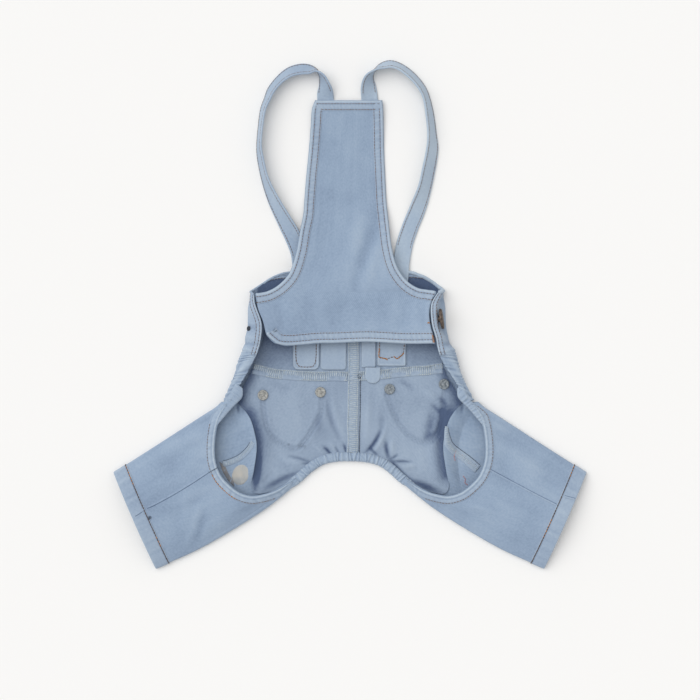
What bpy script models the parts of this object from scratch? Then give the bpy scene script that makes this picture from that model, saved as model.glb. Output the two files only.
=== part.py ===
"""A small dog's denim overalls, laid flat on the back with the belly side up.

Millimetres are used for every named size and turned into metres when a mesh is made.
+X is the picture's right, +Y is towards the shoulder straps, and the cloth rests on z = 0.
"""
import math

import bmesh
import bpy
from mathutils import Matrix, Vector

MM = 0.001

# Driving dimensions, in millimetres
CLOTH = 1.4
HEM_CLOTH = 2.2
TRIM = 1.0
GAP = 0.35
STRAP_WIDTH = 14.0
STRAP_THICK = 2.0
BACK_AXIS = 3.0
CASING_HALF = 3.8
CASING_HEIGHT = 5.2
CASING_SEAM = 0.9
RIVET_RADIUS = 4.7
RIVET_HEIGHT = 1.8
BUTTON_RADIUS = 8.6
BUTTON_HEIGHT = 2.6
BUTTON_SHANK_RADIUS = 2.4
BUTTON_SHANK = 1.4
RIM = 0.4
ROUND_STEPS = 24
STRAP_STEPS = 60
# Seam gaps along the sides and at the bib's hem, in rows of their tables
SIDE_SEAM = 0.06
BIB_SEAM = 0.06

# The sides of the body, from the armhole tip down to the leg: where the cloth folds up from
# the floor, where it meets the floor panel, where its front edge ends, its height, and how
# far its wall stands up straight, from 0 (a round fold) to 1.
SIDE_COLUMNS = ("fold_x", "fold_y", "floor_x", "floor_y", "front_x", "front_y", "height",
                "steep")
SIDE_LEFT = (
    (-84.2, 18.7, -70.5, 28.0, -80.8, 15.3, 13.0, 0.0),
    (-85.9, 7.7, -70.0, 12.0, -79.8, 7.7, 15.5, 0.0),
    (-86.7, -7.7, -71.0, -6.0, -74.6, -7.7, 18.0, 0.0),
    (-88.4, -20.4, -73.0, -20.4, -75.0, -20.4, 18.0, 0.0),
    (-91.0, -30.6, -76.0, -30.6, -77.4, -30.6, 16.5, 0.0),
    (-94.2, -39.1, -80.0, -39.1, -81.0, -39.1, 14.5, 0.0),
    (-97.8, -51.0, -84.0, -51.0, -87.6, -51.0, 13.0, 0.0),
    (-102.0, -60.4, -89.0, -60.4, -93.5, -60.4, 12.0, 0.0),
    (-106.8, -73.1, -94.2, -73.6, -100.8, -73.1, 11.0, 0.0),
)
SIDE_RIGHT = (
    (79.5, 19.6, 66.3, 29.8, 74.0, 17.9, 13.0, 0.2),
    (81.0, 7.7, 65.0, 12.0, 68.4, 7.7, 16.0, 0.9),
    (81.8, -7.7, 66.0, -6.0, 68.9, -7.7, 18.0, 1.0),
    (84.2, -20.4, 69.0, -20.4, 72.3, -20.4, 18.0, 0.6),
    (88.4, -30.6, 73.5, -30.6, 74.4, -31.0, 16.5, 0.0),
    (91.2, -39.1, 76.5, -39.1, 77.6, -39.1, 14.5, 0.0),
    (94.6, -51.0, 80.5, -51.0, 85.0, -51.0, 13.0, 0.0),
    (98.4, -60.4, 86.0, -60.4, 91.0, -60.4, 12.0, 0.0),
    (104.8, -73.1, 93.2, -73.6, 98.8, -73.1, 11.0, 0.0),
)
# A straight wall over a low bulge, in even steps from the floor to the front edge: shares
# of the way from the fold to the floor and to the front edge, and of the height
STEEP_WALL = (
    (1.0, 0.0, 0.0), (0.5, 0.0, 0.0), (0.08, 0.0, 0.05), (0.0, 0.06, 0.20), (0.0, 0.42, 0.31),
    (0.0, 0.53, 0.52), (0.0, 0.56, 0.78), (0.0, 0.62, 0.95), (0.0, 1.0, 1.0),
)
PLACKET_END = 4.0
# Where the tack button sits: row of the side, steps of twelve from the fold to the front
BUTTON_ROW = 1.8
BUTTON_STEP = 6
WAIST_ROW = 5.6
SIDE_END = 8.0

# Upper edge of the back and the waist seam, from the outside to the back's middle line
BACK_TOP_LEFT = ((-61.7, 32.6), (-51.4, 35.2), (-25.0, 37.6), (BACK_AXIS, 38.4))
BACK_TOP_RIGHT = ((58.0, 33.0), (50.7, 35.2), (27.0, 37.6), (BACK_AXIS, 38.4))
WAIST_LEFT = ((-65.5, -50.0), (-42.5, -52.3), (BACK_AXIS, -52.8))
WAIST_RIGHT = ((46.8, -49.0), (25.5, -51.2), (BACK_AXIS, -52.8))

# Legs, as distances out from the middle: the fold on the side seam (a) and on the crotch
# side (b), heights of the crown and of both folds, and how far the belly opening bends it.
LEG_COLUMNS = ("a_x", "a_y", "b_x", "b_y", "crown", "fold_a", "fold_b", "bend")
LEG = (
    (200.6, -134.7, 164.9, -215.9, 13.0, 5.0, 5.0, 0.0),
    (190.6, -128.3, 153.9, -211.3, 13.0, 5.0, 5.0, 0.0),
    (165.0, -112.0, 128.0, -199.5, 13.0, 5.0, 5.0, 0.13),
    (140.0, -95.8, 99.0, -183.0, 13.0, 5.5, 5.5, 0.36),
    (122.0, -84.2, 72.5, -166.0, 13.0, 7.0, 6.0, 0.66),
    (114.2, -79.2, 56.3, -153.5, 13.0, 9.0, 6.0, 0.86),
    (108.8, -74.4, 43.6, -142.8, 12.5, 10.8, 6.0, 1.0),
)
HEM_START = 0.0
HEM_END = 1.0
LEG_END = 6.0
OPENING_EDGE = (
    (102.9, -75.7), (110.5, -88.4), (113.9, -105.4), (113.9, -122.4), (109.7, -135.2),
    (102.9, -143.7), (93.5, -150.9), (83.3, -153.9), (73.1, -152.6), (63.8, -149.6),
    (51.9, -143.2), (45.9, -139.4),
)
SEAT_SEAM = (
    (95.0, -75.6), (85.0, -88.0), (80.0, -104.0), (79.0, -115.0), (81.0, -130.0),
    (84.0, -145.0), (80.0, -152.5), (66.0, -150.5), (57.0, -146.4), (50.0, -142.6),
)
# The fold that stands up along the leg's inner seam: share of the seam, height
INNER_FOLD = (
    (0.0, 1.0), (0.14, 4.5), (0.28, 6.5), (0.5, 6.5), (0.68, 0.0), (1.0, 0.0),
)
INNER_FOLD_START = 5.0
FOLD_FALL = (1.0, 0.6, 0.1)
BINDING_WIDTH = 6.2

# Crotch casing: its middle line over the arch between the legs, left to right
ARCH = (
    (-44.0, -139.4), (-34.2, -130.6), (-23.4, -124.1), (-11.9, -121.6), (0.0, -121.1),
    (13.6, -122.0), (25.6, -125.2), (35.2, -131.4), (44.0, -139.4),
)
ARCH_GATHERS = 17
SIDE_GATHERS = 9
GATHER_DEPTH = 0.5

# Bib, from its top edge to its hem: left and right edge, height over the floor in the
# middle and at the edges
BIB_COLUMNS = ("left_x", "left_y", "right_x", "right_y", "middle", "edge")
BIB = (
    (-29.6, 181.3, 27.4, 181.3, 2.5, 2.5),
    (-32.3, 173.4, 28.1, 173.4, 2.5, 2.5),
    (-33.2, 160.7, 28.5, 160.7, 1.6, 1.6),
    (-34.9, 139.4, 28.9, 139.4, 0.0, 0.0),
    (-37.0, 118.2, 29.8, 118.2, 0.0, 0.0),
    (-38.7, 96.9, 30.8, 96.9, 0.2, 0.6),
    (-39.6, 84.2, 32.0, 84.2, 1.4, 2.8),
    (-42.3, 70.6, 33.4, 71.5, 3.2, 4.6),
    (-45.2, 53.2, 35.2, 57.0, 5.6, 6.8),
    (-49.8, 37.8, 38.6, 43.0, 8.0, 8.8),
    (-54.5, 30.1, 43.4, 33.6, 9.0, 9.8),
    (-61.7, 23.4, 50.0, 26.2, 9.6, 10.8),
    (-69.4, 19.2, 58.0, 21.6, 10.0, 11.8),
    (-76.6, 17.6, 66.0, 20.2, 10.2, 12.6),
    (-79.6, 16.9, 72.7, 18.4, 10.3, 13.2),
    (-78.8, 11.0, 69.0, 11.5, 10.4, 14.0),
    (-77.0, 2.0, 66.8, 2.0, 10.5, 15.5),
    (-73.2, -8.0, 67.2, -8.0, 10.5, 16.6),
    (-70.6, -19.6, 70.2, -20.4, 10.5, 17.0),
    (-68.6, -23.6, 71.3, -25.4, 10.5, 16.8),
)
BIB_HEM_ROW = 18.1
BIB_HEM_DIP = ((0.0, 0.0), (0.1, -3.2), (0.35, -0.6), (0.6, 0.9), (0.85, -0.3), (1.0, 0.2))
BIB_BINDING = 7.0

# Straps: middle line from under the bib's top edge, round the loop, to the inside of the
# back, as x, y, how far the strap leans over on its edge in degrees, and its lift
STRAP_LEFT = (
    (-20.8, 170.0, 0, 0.0), (-20.8, 183.2, 0, 0.0), (-21.7, 193.8, 48, 0.0),
    (-24.2, 201.5, 76, 0.0), (-28.9, 206.1, 102, 0.0), (-34.4, 207.2, 128, 0.0),
    (-42.0, 207.4, 134, 0.0), (-51.0, 204.9, 130, 0.0), (-59.0, 199.0, 123, 0.0),
    (-66.3, 190.4, 119, 0.0), (-70.1, 181.9, 113, 0.0), (-73.5, 173.4, 109, 0.0),
    (-75.6, 160.0, 106, 0.0), (-77.0, 143.0, 106, 0.0), (-75.7, 130.9, 111, 0.0),
    (-71.8, 113.9, 115, 0.0), (-65.0, 96.9, 132, 0.0), (-56.1, 79.9, 150, 0.0),
    (-49.2, 67.0, 170, 0.0), (-44.0, 54.0, 180, 0.0), (-42.0, 42.0, 180, 1.2),
    (-41.0, 28.0, 180, 1.8), (-39.0, -17.0, 180, 1.8),
)
STRAP_RIGHT = (
    (16.6, 170.0, 0, 0.0), (16.6, 182.8, 0, 0.0), (15.7, 192.0, 24, 0.0),
    (16.2, 199.0, 52, 0.0), (19.1, 204.4, 84, 0.0), (23.8, 208.4, 104, 0.0),
    (29.0, 210.6, 118, 0.0), (35.0, 211.6, 120, 0.0), (42.5, 209.2, 118, 0.0),
    (49.4, 204.4, 119, 0.0), (55.7, 198.4, 118, 0.0), (61.6, 190.4, 117, 0.0),
    (65.0, 181.9, 115, 0.0), (67.6, 169.0, 120, 0.0), (69.5, 152.0, 124, 0.0),
    (69.7, 139.4, 137, 0.0), (66.7, 122.4, 142, 0.0), (62.9, 105.4, 146, 0.0),
    (57.0, 88.4, 170, 0.0), (51.5, 74.8, 180, 0.0), (46.6, 60.0, 180, 0.0),
    (43.6, 44.0, 180, 0.8), (42.6, 32.0, 180, 1.8), (38.0, -17.0, 180, 1.8),
)

# Small pieces inside the waist: name, middle x and y, width, length, and the radius of the
# corners at the lower end
TABS = (
    ("tab_left", -37.2, -34.0, 22.4, 27.0, 5.0),
    ("tab_inner_left", -14.0, -34.0, 22.0, 27.0, 3.0),
    ("tab_inner_right", 15.9, -33.0, 12.0, 25.0, 1.0),
    ("tab_right", 35.4, -32.0, 24.6, 24.5, 1.5),
)
SEAM_STRIP_HALF = 4.4
CENTRE_STRIP_HALF = 5.2
CENTRE_SEAM = (
    (BACK_AXIS, -20.0), (BACK_AXIS, -48.0), (BACK_AXIS - 0.6, -80.0),
    (BACK_AXIS - 1.0, -112.5),
)
RIVETS = (("rivet_1", -73.9, -68.9), ("rivet_2", -25.1, -66.4),
          ("rivet_3", 33.6, -63.8), ("rivet_4", 79.8, -59.6))
LOOP_CENTRE = (19.4, -52.6)
LOOP_RADIUS = 6.6

DENIM = (0.30, 0.40, 0.56, 1.0)
DENIM_PALE = (0.38, 0.48, 0.62, 1.0)
THREAD = (0.62, 0.68, 0.72, 1.0)
METAL = (0.66, 0.66, 0.64, 1.0)
BRONZE = (0.42, 0.30, 0.18, 1.0)


def clear_scene():
    """Remove everything that the file holds."""
    for item in list(bpy.data.objects):
        bpy.data.objects.remove(item, do_unlink=True)


def make_material(name, colour, roughness, metallic):
    """A Principled material in one colour."""
    material = bpy.data.materials.new(name)
    material.use_nodes = True
    shader = material.node_tree.nodes["Principled BSDF"]
    shader.inputs["Base Color"].default_value = colour
    shader.inputs["Roughness"].default_value = roughness
    shader.inputs["Metallic"].default_value = metallic
    return material


def lerp(a, b, t):
    """The point at share t of the way from a to b."""
    return tuple(p + (q - p) * t for p, q in zip(a, b))


def at_row(table, s):
    """Smooth values of a table at row number s, which may lie between two rows."""
    last = len(table) - 1
    i = min(int(s), last - 1)
    t = s - i
    rows = [table[max(0, min(last, i + k))] for k in (-1, 0, 1, 2)]
    values = []
    for p0, p1, p2, p3 in zip(*rows):
        slope_1 = (p2 - p0) / 2
        slope_2 = (p3 - p1) / 2
        cube = (2 * p1 - 2 * p2 + slope_1 + slope_2) * t ** 3
        square = (3 * p2 - 3 * p1 - 2 * slope_1 - slope_2) * t ** 2
        values.append(cube + square + slope_1 * t + p1)
    return tuple(values)


def spaced_points(points, shares, steps=12):
    """Points at given shares of the length of a smooth curve through the given points."""
    fine = [at_row(points, k / steps) for k in range((len(points) - 1) * steps + 1)]
    lengths = [0.0]
    for a, b in zip(fine, fine[1:]):
        lengths.append(lengths[-1] + math.dist(a, b))
    result = []
    k = 0
    for share in shares:
        target = lengths[-1] * share
        while k < len(fine) - 2 and lengths[k + 1] < target:
            k += 1
        span = lengths[k + 1] - lengths[k]
        result.append(lerp(fine[k], fine[k + 1], (target - lengths[k]) / span))
    return result


def even_points(points, count):
    """Points at even distances on a smooth curve through the given points."""
    return spaced_points(points, [k / (count - 1) for k in range(count)])


def eased(table, share):
    """The value of a two-column table at a share, with soft turns between its rows."""
    for (u0, value_0), (u1, value_1) in zip(table, table[1:]):
        if share <= u1:
            t = (share - u0) / (u1 - u0)
            return value_0 + (value_1 - value_0) * t * t * (3 - 2 * t)
    return table[-1][1]


def sideways(points, distance):
    """A line moved to its left by a distance, in the plane."""
    moved = []
    for i, point in enumerate(points):
        before = points[max(0, i - 1)]
        after = points[min(len(points) - 1, i + 1)]
        dx = after[0] - before[0]
        dy = after[1] - before[1]
        size = math.hypot(dx, dy)
        moved.append((point[0] - dy / size * distance, point[1] + dx / size * distance))
    return moved


def add_object(name, mesh, material, collection):
    """Put a mesh into the part's collection, shaded smooth but for its sharp edges."""
    thing = bpy.data.objects.new(name, mesh)
    mesh.materials.append(material)
    mesh.shade_smooth()
    mesh.set_sharp_from_angle(angle=math.radians(50))
    collection.objects.link(thing)
    return thing


def grid_mesh(name, rows, facing, closed=False):
    """A surface through rows of points in millimetres. It faces "up", "down" or "out",
    which is away from the middle of its rows; closed rows make a tube."""
    mesh = bpy.data.meshes.new(name)
    shape = bmesh.new()
    grid = [[shape.verts.new([v * MM for v in point]) for point in row] for row in rows]
    width = len(rows[0])
    total = 0.0
    for upper, lower in zip(grid, grid[1:]):
        middle = sum((vert.co for vert in upper + lower), Vector()) / (2 * width)
        for k in range(width if closed else width - 1):
            after = (k + 1) % width
            face = shape.faces.new((upper[k], upper[after], lower[after], lower[k]))
            face.normal_update()
            wanted = Vector((0, 0, -1 if facing == "down" else 1))
            if facing == "out":
                wanted = face.calc_center_median() - middle
            total += face.normal.dot(wanted) * face.calc_area()
    if total < 0:
        bmesh.ops.reverse_faces(shape, faces=shape.faces)
    shape.to_mesh(mesh)
    shape.free()
    return mesh


def cloth(name, rows, material, collection, thick=CLOTH, facing="up", grow=-1.0,
          closed=False):
    """A panel of cloth: the open surface with a wall on its inner or outer side."""
    mesh = grid_mesh(name, rows, facing, closed)
    thing = add_object(name, mesh, material, collection)
    wall = thing.modifiers.new("wall", "SOLIDIFY")
    wall.thickness = thick * MM
    wall.offset = grow
    return thing


def side_row(side, s):
    """The named sizes of the body's left (-1) or right (1) side at row s."""
    table = SIDE_LEFT if side < 0 else SIDE_RIGHT
    return dict(zip(SIDE_COLUMNS, at_row(table, s)))


def side_section(side, s, steps=6, gather=0.0):
    """The turned-up side: from the floor, round the fold, to the front edge."""
    row = side_row(side, s)
    fold = (row["fold_x"], row["fold_y"])
    floor_end = (row["floor_x"], row["floor_y"])
    front_end = (row["front_x"], row["front_y"])
    points = []
    for k in range(-steps, steps + 1):
        angle = math.pi / 2 * k / steps
        share = 1 - math.cos(angle)
        x, y = lerp(fold, floor_end if k < 0 else front_end, share)
        z = row["height"] / 2 * (1 + math.sin(angle))
        ripple = gather * max(0.0, math.sin(angle)) ** 2
        wall = at_row(STEEP_WALL, (k + steps) / (2 * steps) * (len(STEEP_WALL) - 1))
        to_floor, to_front, rise = wall
        straight = [f + (a - f) * to_floor + (b - f) * to_front
                    for f, a, b in zip(fold, floor_end, front_end)]
        steep = max(0.0, min(1.0, row["steep"]))
        points.append(lerp((x, y, z + ripple), (*straight, max(0.0, rise) * row["height"]),
                           steep))
    return points


def leg_row(t):
    """The named sizes of a leg at row t."""
    return dict(zip(LEG_COLUMNS, at_row(LEG, t)))


def leg_line(t, share, body_point):
    """A point between the two folds of a leg, bent towards its edge at the body."""
    row = leg_row(t)
    last = leg_row(LEG_END)

    def straight(sizes):
        a = (sizes["a_x"], sizes["a_y"])
        b = (sizes["b_x"], sizes["b_y"])
        length = math.dist(a, b)
        first = sizes["fold_a"] / 2
        second = sizes["fold_b"] / 2
        return lerp(a, b, (first + share * (length - first - second)) / length)

    here = straight(row)
    there = straight(last)
    bend = row["bend"]
    return (here[0] + bend * (body_point[0] - there[0]),
            here[1] + bend * (body_point[1] - there[1]))


LEG_TOP_COUNT = 13
LEG_FLOOR_COUNT = 14
EDGE_POINTS = even_points(OPENING_EDGE, LEG_TOP_COUNT)
SEAM_POINTS = even_points(SEAT_SEAM, LEG_FLOOR_COUNT)


def leg_top(t):
    """The belly side of a leg at row t, from the side fold to the crotch fold."""
    row = leg_row(t)
    points = []
    for k, edge in enumerate(EDGE_POINTS):
        share = k / (LEG_TOP_COUNT - 1)
        x, y = leg_line(t, share, edge)
        base = row["fold_a"] + (row["fold_b"] - row["fold_a"]) * share
        rise = row["crown"] - (row["fold_a"] + row["fold_b"]) / 2
        points.append((x, y, base + rise * math.sin(math.pi * share) ** 0.8))
    return points


def leg_floor(t):
    """The back side of a leg at row t, on the floor up to the fold along its inner seam."""
    points = []
    for k, seam in enumerate(SEAM_POINTS):
        share = k / (LEG_FLOOR_COUNT - 1)
        x, y = leg_line(t, share, seam)
        rise = max(0.0, (t - INNER_FOLD_START) / (LEG_END - INNER_FOLD_START))
        points.append((x, y, eased(INNER_FOLD, share) * rise ** 1.5))
    return points


def leg_fold(fold, low, high, steps=3):
    """A fold from a floor point round to a point above it, without its two ends."""
    middle = high[2] / 2
    points = []
    for k in range(1 - steps, steps):
        angle = math.pi / 2 * k / steps
        end = low if k < 0 else high
        x, y = lerp(fold, end[:2], 1 - math.cos(angle))
        points.append((x, y, middle * (1 + math.sin(angle))))
    return points


def leg_ring(side, t):
    """One closed ring round a leg: floor side, crotch fold, belly side, side fold."""
    row = leg_row(t)
    low = leg_floor(t)
    high = leg_top(t)
    ring = list(low)
    ring += leg_fold((row["b_x"], row["b_y"]), low[-1], high[-1])
    ring += high[::-1]
    ring += leg_fold((row["a_x"], row["a_y"]), low[0], high[0])[::-1]
    return [(side * x, y, z) for x, y, z in ring]


def steps_between(first, last, count):
    """Evenly spaced row numbers."""
    return [first + (last - first) * k / count for k in range(count + 1)]


def coons(top, bottom, left, right):
    """A grid of points filling four boundary lines that meet at the corners."""
    rows = []
    for i in range(len(left)):
        v = i / (len(left) - 1)
        row = []
        for j, u in enumerate(PANEL_SHARES):
            point = []
            for axis in (0, 1):
                across = left[i][axis] * (1 - u) + right[i][axis] * u
                down = top[j][axis] * (1 - v) + bottom[j][axis] * v
                corner = (top[0][axis] * (1 - u) + top[-1][axis] * u) * (1 - v)
                corner += (bottom[0][axis] * (1 - u) + bottom[-1][axis] * u) * v
                point.append(across + down - corner)
            row.append((point[0], point[1], 0.0))
        rows.append(row)
    return rows


def raised(points, distance):
    """A border line moved along Y, away from the panel on the seam's other side."""
    return [(x, y + distance) for x, y in points]


def floor_points(side, rows):
    """Where the turned-up side meets the floor panels, at the given rows."""
    return [(side_row(side, s)["floor_x"], side_row(side, s)["floor_y"]) for s in rows]


PANEL_SHARES = (0.0, 0.025, 0.07, 0.16, 0.3, 0.45, 0.6, 0.8, 1.0)
WAIST_ROWS = steps_between(0.0, WAIST_ROW, 8)
SEAT_SIDE_ROWS = steps_between(WAIST_ROW, SIDE_END, 4)


def waist_line(side):
    """The waist seam from the turned-up side to the back's middle line."""
    middle = WAIST_LEFT if side < 0 else WAIST_RIGHT
    return tuple(floor_points(side, [WAIST_ROW])) + middle


def arch_edge(side, leg_corner):
    """Where the seat meets the crotch casing, from the leg to the middle line."""
    upper = sideways(even_points(ARCH, 17), CASING_HALF + CASING_SEAM)
    half = upper[:8] if side < 0 else upper[:8:-1]
    return [leg_corner] + half + [(BACK_AXIS, upper[8][1])]


def make_upper_back(side, name, material, collection):
    """The upper back: from the armhole and neck edge down to the waist seam."""
    top_table = BACK_TOP_LEFT if side < 0 else BACK_TOP_RIGHT
    left = floor_points(side, WAIST_ROWS)
    top = spaced_points((left[0],) + top_table, PANEL_SHARES)
    bottom = spaced_points(waist_line(side), PANEL_SHARES)
    rows = len(left) - 1
    right = [lerp(top[-1], bottom[-1], k / rows) for k in range(rows + 1)]
    grid = coons(top, raised(bottom, GAP / 2), left, right)
    trimmed = [trim_row(row, side) for row in grid]
    return cloth(name, trimmed, material, collection, facing="down")


def trim_row(row, side):
    """A row of a floor panel with both ends drawn in by half a seam gap or more."""
    first = (row[0][0] - side * GAP, row[0][1], 0.0)
    last = (row[-1][0] + side * GAP / 2, row[-1][1], 0.0)
    return [first] + row[1:-1] + [last]


def make_seat(side, name, material, collection):
    """One half of the seat: waist seam, turned-up side, leg seam and crotch casing."""
    leg_side = [(side * x, y) for x, y in sideways(SEAM_POINTS, -GAP)[1:]]
    left = floor_points(side, SEAT_SIDE_ROWS) + leg_side
    top = spaced_points(waist_line(side), PANEL_SHARES)
    bottom = spaced_points(arch_edge(side, left[-1]), PANEL_SHARES)
    rows = len(left) - 1
    right = [lerp(top[-1], bottom[-1], k / rows) for k in range(rows + 1)]
    grid = coons(raised(top, -GAP / 2), bottom, left, right)
    trimmed = [trim_row(row, side) for row in grid]
    first = len(SEAT_SIDE_ROWS) - 1
    for k in range(LEG_FLOOR_COUNT):
        height = eased(INNER_FOLD, k / (LEG_FLOOR_COUNT - 1))
        row = trimmed[first + k]
        for column, share in enumerate(FOLD_FALL):
            x, y, z = row[column]
            row[column] = (x, y, height * share)
    return cloth(name, trimmed, material, collection, facing="down")


def make_side(side, name, first, last, count, gathers, material, collection):
    """A stretch of the turned-up side, with its elastic gathers if it has any."""
    rows = []
    for k, s in enumerate(steps_between(first, last, count)):
        share = k / count
        wave = GATHER_DEPTH * math.sin(2 * math.pi * gathers * share) if gathers else 0.0
        rows.append(side_section(side, s, gather=wave))
    return cloth(name, rows, material, collection, facing="out")


def make_leg(side, name, material, collection):
    """One leg: a tube of cloth, open at the hem and at the belly opening."""
    gap_share = GAP / math.dist((LEG[0][0], LEG[0][1]), (LEG[1][0], LEG[1][1]))
    rows = [leg_ring(side, t) for t in steps_between(HEM_END + gap_share, LEG_END, 10)]
    return cloth(name, rows, material, collection, facing="out", closed=True)


def make_hem(side, name, material, collection):
    """The turned hem of a leg, a double band of cloth."""
    rows = [leg_ring(side, t) for t in (HEM_START, 0.5, HEM_END)]
    return cloth(name, rows, material, collection, thick=HEM_CLOTH, facing="out",
                 closed=True)


def make_opening_binding(side, name, material, collection):
    """The binding of the belly opening on a leg, on the leg's own surface."""
    edge = leg_top(LEG_END)
    back = leg_top(LEG_END - 0.5)
    inner = []
    outer = []
    for k in range(1, len(edge) - 1):
        reach = BINDING_WIDTH / math.dist(edge[k], back[k])
        inner.append(edge[k])
        outer.append(lerp(edge[k], back[k], reach))
    lift = GAP + 0.1
    rows = []
    for share in (0.0, 0.5, 1.0):
        line = [lerp(a, b, share) for a, b in zip(inner, outer)]
        rows.append([(side * x, y, z + lift) for x, y, z in line])
    return cloth(name, rows, material, collection, thick=TRIM, grow=1.0)


def make_arch_casing(material, collection):
    """The gathered elastic casing over the crotch, a flat roll of cloth."""
    count = ARCH_GATHERS * 4
    centre = even_points(ARCH, count + 1)
    rows = []
    for k in range(count + 1):
        before = centre[max(0, k - 1)]
        after = centre[min(count, k + 1)]
        angle = math.atan2(after[1] - before[1], after[0] - before[0])
        wave = GATHER_DEPTH * math.sin(math.pi * k / 2)
        section = (
            (-1.0, 1.2), (-0.85, 0.0), (0.85, 0.0), (1.0, 1.2), (1.0, 3.2 + wave / 2),
            (0.7, CASING_HEIGHT - 0.6 + wave), (0.0, CASING_HEIGHT + wave),
            (-0.7, CASING_HEIGHT - 0.6 + wave), (-1.0, 3.2 + wave / 2),
        )
        row = []
        for across, z in section:
            x = centre[k][0] - math.sin(angle) * across * CASING_HALF
            y = centre[k][1] + math.cos(angle) * across * CASING_HALF
            row.append((x, y, z))
        rows.append(row)
    return solid_loft("crotch_casing", rows, material, collection)


def solid_loft(name, rows, material, collection):
    """A closed solid through rings of points, with a flat cap at each end."""
    mesh = grid_mesh(name, rows, "out", closed=True)
    shape = bmesh.new()
    shape.from_mesh(mesh)
    bmesh.ops.holes_fill(shape, edges=[e for e in shape.edges if e.is_boundary], sides=0)
    bmesh.ops.recalc_face_normals(shape, faces=shape.faces)
    shape.to_mesh(mesh)
    shape.free()
    return add_object(name, mesh, material, collection)


def bib_point(s, share):
    """A point on the bib's underside at row s, from the left edge to the right."""
    row = dict(zip(BIB_COLUMNS, at_row(BIB, s)))
    x = row["left_x"] + (row["right_x"] - row["left_x"]) * share
    y = row["left_y"] + (row["right_y"] - row["left_y"]) * share
    y += eased(BIB_HEM_DIP, share) * max(0.0, min(1.0, (s - 15) / 4))
    off_middle = abs(2 * share - 1) ** 2.5
    z = row["middle"] + (row["edge"] - row["middle"]) * off_middle
    return (x, y, max(0.0, z))


BIB_SHARES = (0.0, 0.05, 0.12, 0.2, 0.3, 0.4, 0.5, 0.6, 0.7, 0.8, 0.88, 0.95, 1.0)


def make_bib(material, hem_material, collection):
    """The bib and its hem, both with their flat underside as the drawn surface."""
    last = len(BIB) - 1
    rows = [[bib_point(s, u) for u in BIB_SHARES]
            for s in steps_between(0.0, BIB_HEM_ROW, 36)]
    cloth("bib", rows, material, collection, grow=1.0)
    hem_rows = [[bib_point(s, u) for u in BIB_SHARES]
                for s in steps_between(BIB_HEM_ROW + BIB_SEAM, last, 3)]
    cloth("bib_hem", hem_rows, hem_material, collection, thick=HEM_CLOTH, grow=1.0)


def make_bib_binding(side, name, material, collection):
    """The turned edge down one side of the bib, a strip on the bib's face."""
    rows = []
    for s in steps_between(0.35, 13.3, 30):
        left, right = bib_point(s, 0.0), bib_point(s, 1.0)
        width = math.dist(left, right)
        share = min(0.45, BIB_BINDING / width)
        strip = []
        for part in (0.02, 0.5, 1.0):
            u = share * part if side < 0 else 1 - share * part
            x, y, z = bib_point(s, u)
            strip.append((x, y, z + CLOTH + GAP))
        rows.append(strip)
    return cloth(name, rows, material, collection, thick=TRIM, grow=1.0)


def make_strap(name, table, side, material, collection):
    """A shoulder strap: a flat band that stands partly on its edge round its loop."""
    path = [at_row(table, s) for s in steps_between(0.0, len(table) - 1, STRAP_STEPS)]
    rows = []
    for k, (x, y, lean, lift) in enumerate(path):
        before = path[max(0, k - 1)]
        after = path[min(STRAP_STEPS, k + 1)]
        along = math.atan2(after[1] - before[1], after[0] - before[0])
        inward = along - side * math.pi / 2
        tilt = math.radians(min(180.0, max(0.0, lean)))
        middle = STRAP_WIDTH / 2 * math.sin(tilt) + STRAP_THICK / 2 * abs(math.cos(tilt))
        middle += max(0.0, lift)
        section = []
        for across, up in ((-1, -1), (0, -1), (1, -1), (1, 1), (0, 1), (-1, 1)):
            flat = across * STRAP_WIDTH / 2 * math.cos(tilt)
            flat += up * STRAP_THICK / 2 * math.sin(tilt)
            rise = -across * STRAP_WIDTH / 2 * math.sin(tilt)
            rise += up * STRAP_THICK / 2 * math.cos(tilt)
            section.append((x + math.cos(inward) * flat, y + math.sin(inward) * flat,
                            middle + rise))
        rows.append(section)
    return solid_loft(name, rows, material, collection)


def make_strip(name, points, half, base, material, collection):
    """An overlocked seam allowance, a narrow flat strip along a seam."""
    left = sideways(points, half)
    right = sideways(points, -half)
    rows = [[(a[0], a[1], base), (b[0], b[1], base)] for a, b in zip(left, right)]
    return cloth(name, rows, material, collection, thick=TRIM, grow=1.0)


def make_plate(name, outline, base, thick, material, collection):
    """A flat piece cut to an outline, extruded from a filled curve."""
    curve = bpy.data.curves.new(name, "CURVE")
    curve.dimensions = "2D"
    curve.fill_mode = "BOTH"
    curve.extrude = thick / 2 * MM
    spline = curve.splines.new("POLY")
    spline.points.add(len(outline) - 1)
    for point, (x, y) in zip(spline.points, outline):
        point.co = (x * MM, y * MM, 0.0, 1.0)
    spline.use_cyclic_u = True
    thing = bpy.data.objects.new(name, curve)
    thing.location = (0.0, 0.0, (base + thick / 2) * MM)
    curve.materials.append(material)
    collection.objects.link(thing)
    return thing


def tab_outline(x, y, width, length, radius):
    """A tab with square upper corners and round lower ones."""
    left, right = x - width / 2, x + width / 2
    top, low = y + length / 2, y - length / 2
    outline = [(right, top), (left, top)]
    for centre_x, start in ((left + radius, 180), (right - radius, 270)):
        for k in range(5):
            angle = math.radians(start + 22.5 * k)
            outline.append((centre_x + radius * math.cos(angle),
                            low + radius + radius * math.sin(angle)))
    return outline


def loop_outline():
    """The little half-round loop that hangs from the waist seam."""
    x, y = LOOP_CENTRE
    outline = [(x + LOOP_RADIUS, y + LOOP_RADIUS / 2), (x - LOOP_RADIUS, y + LOOP_RADIUS / 2)]
    for k in range(9):
        angle = math.pi + math.pi * k / 8
        outline.append((x + LOOP_RADIUS * math.cos(angle), y + LOOP_RADIUS * math.sin(angle)))
    return outline


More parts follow.
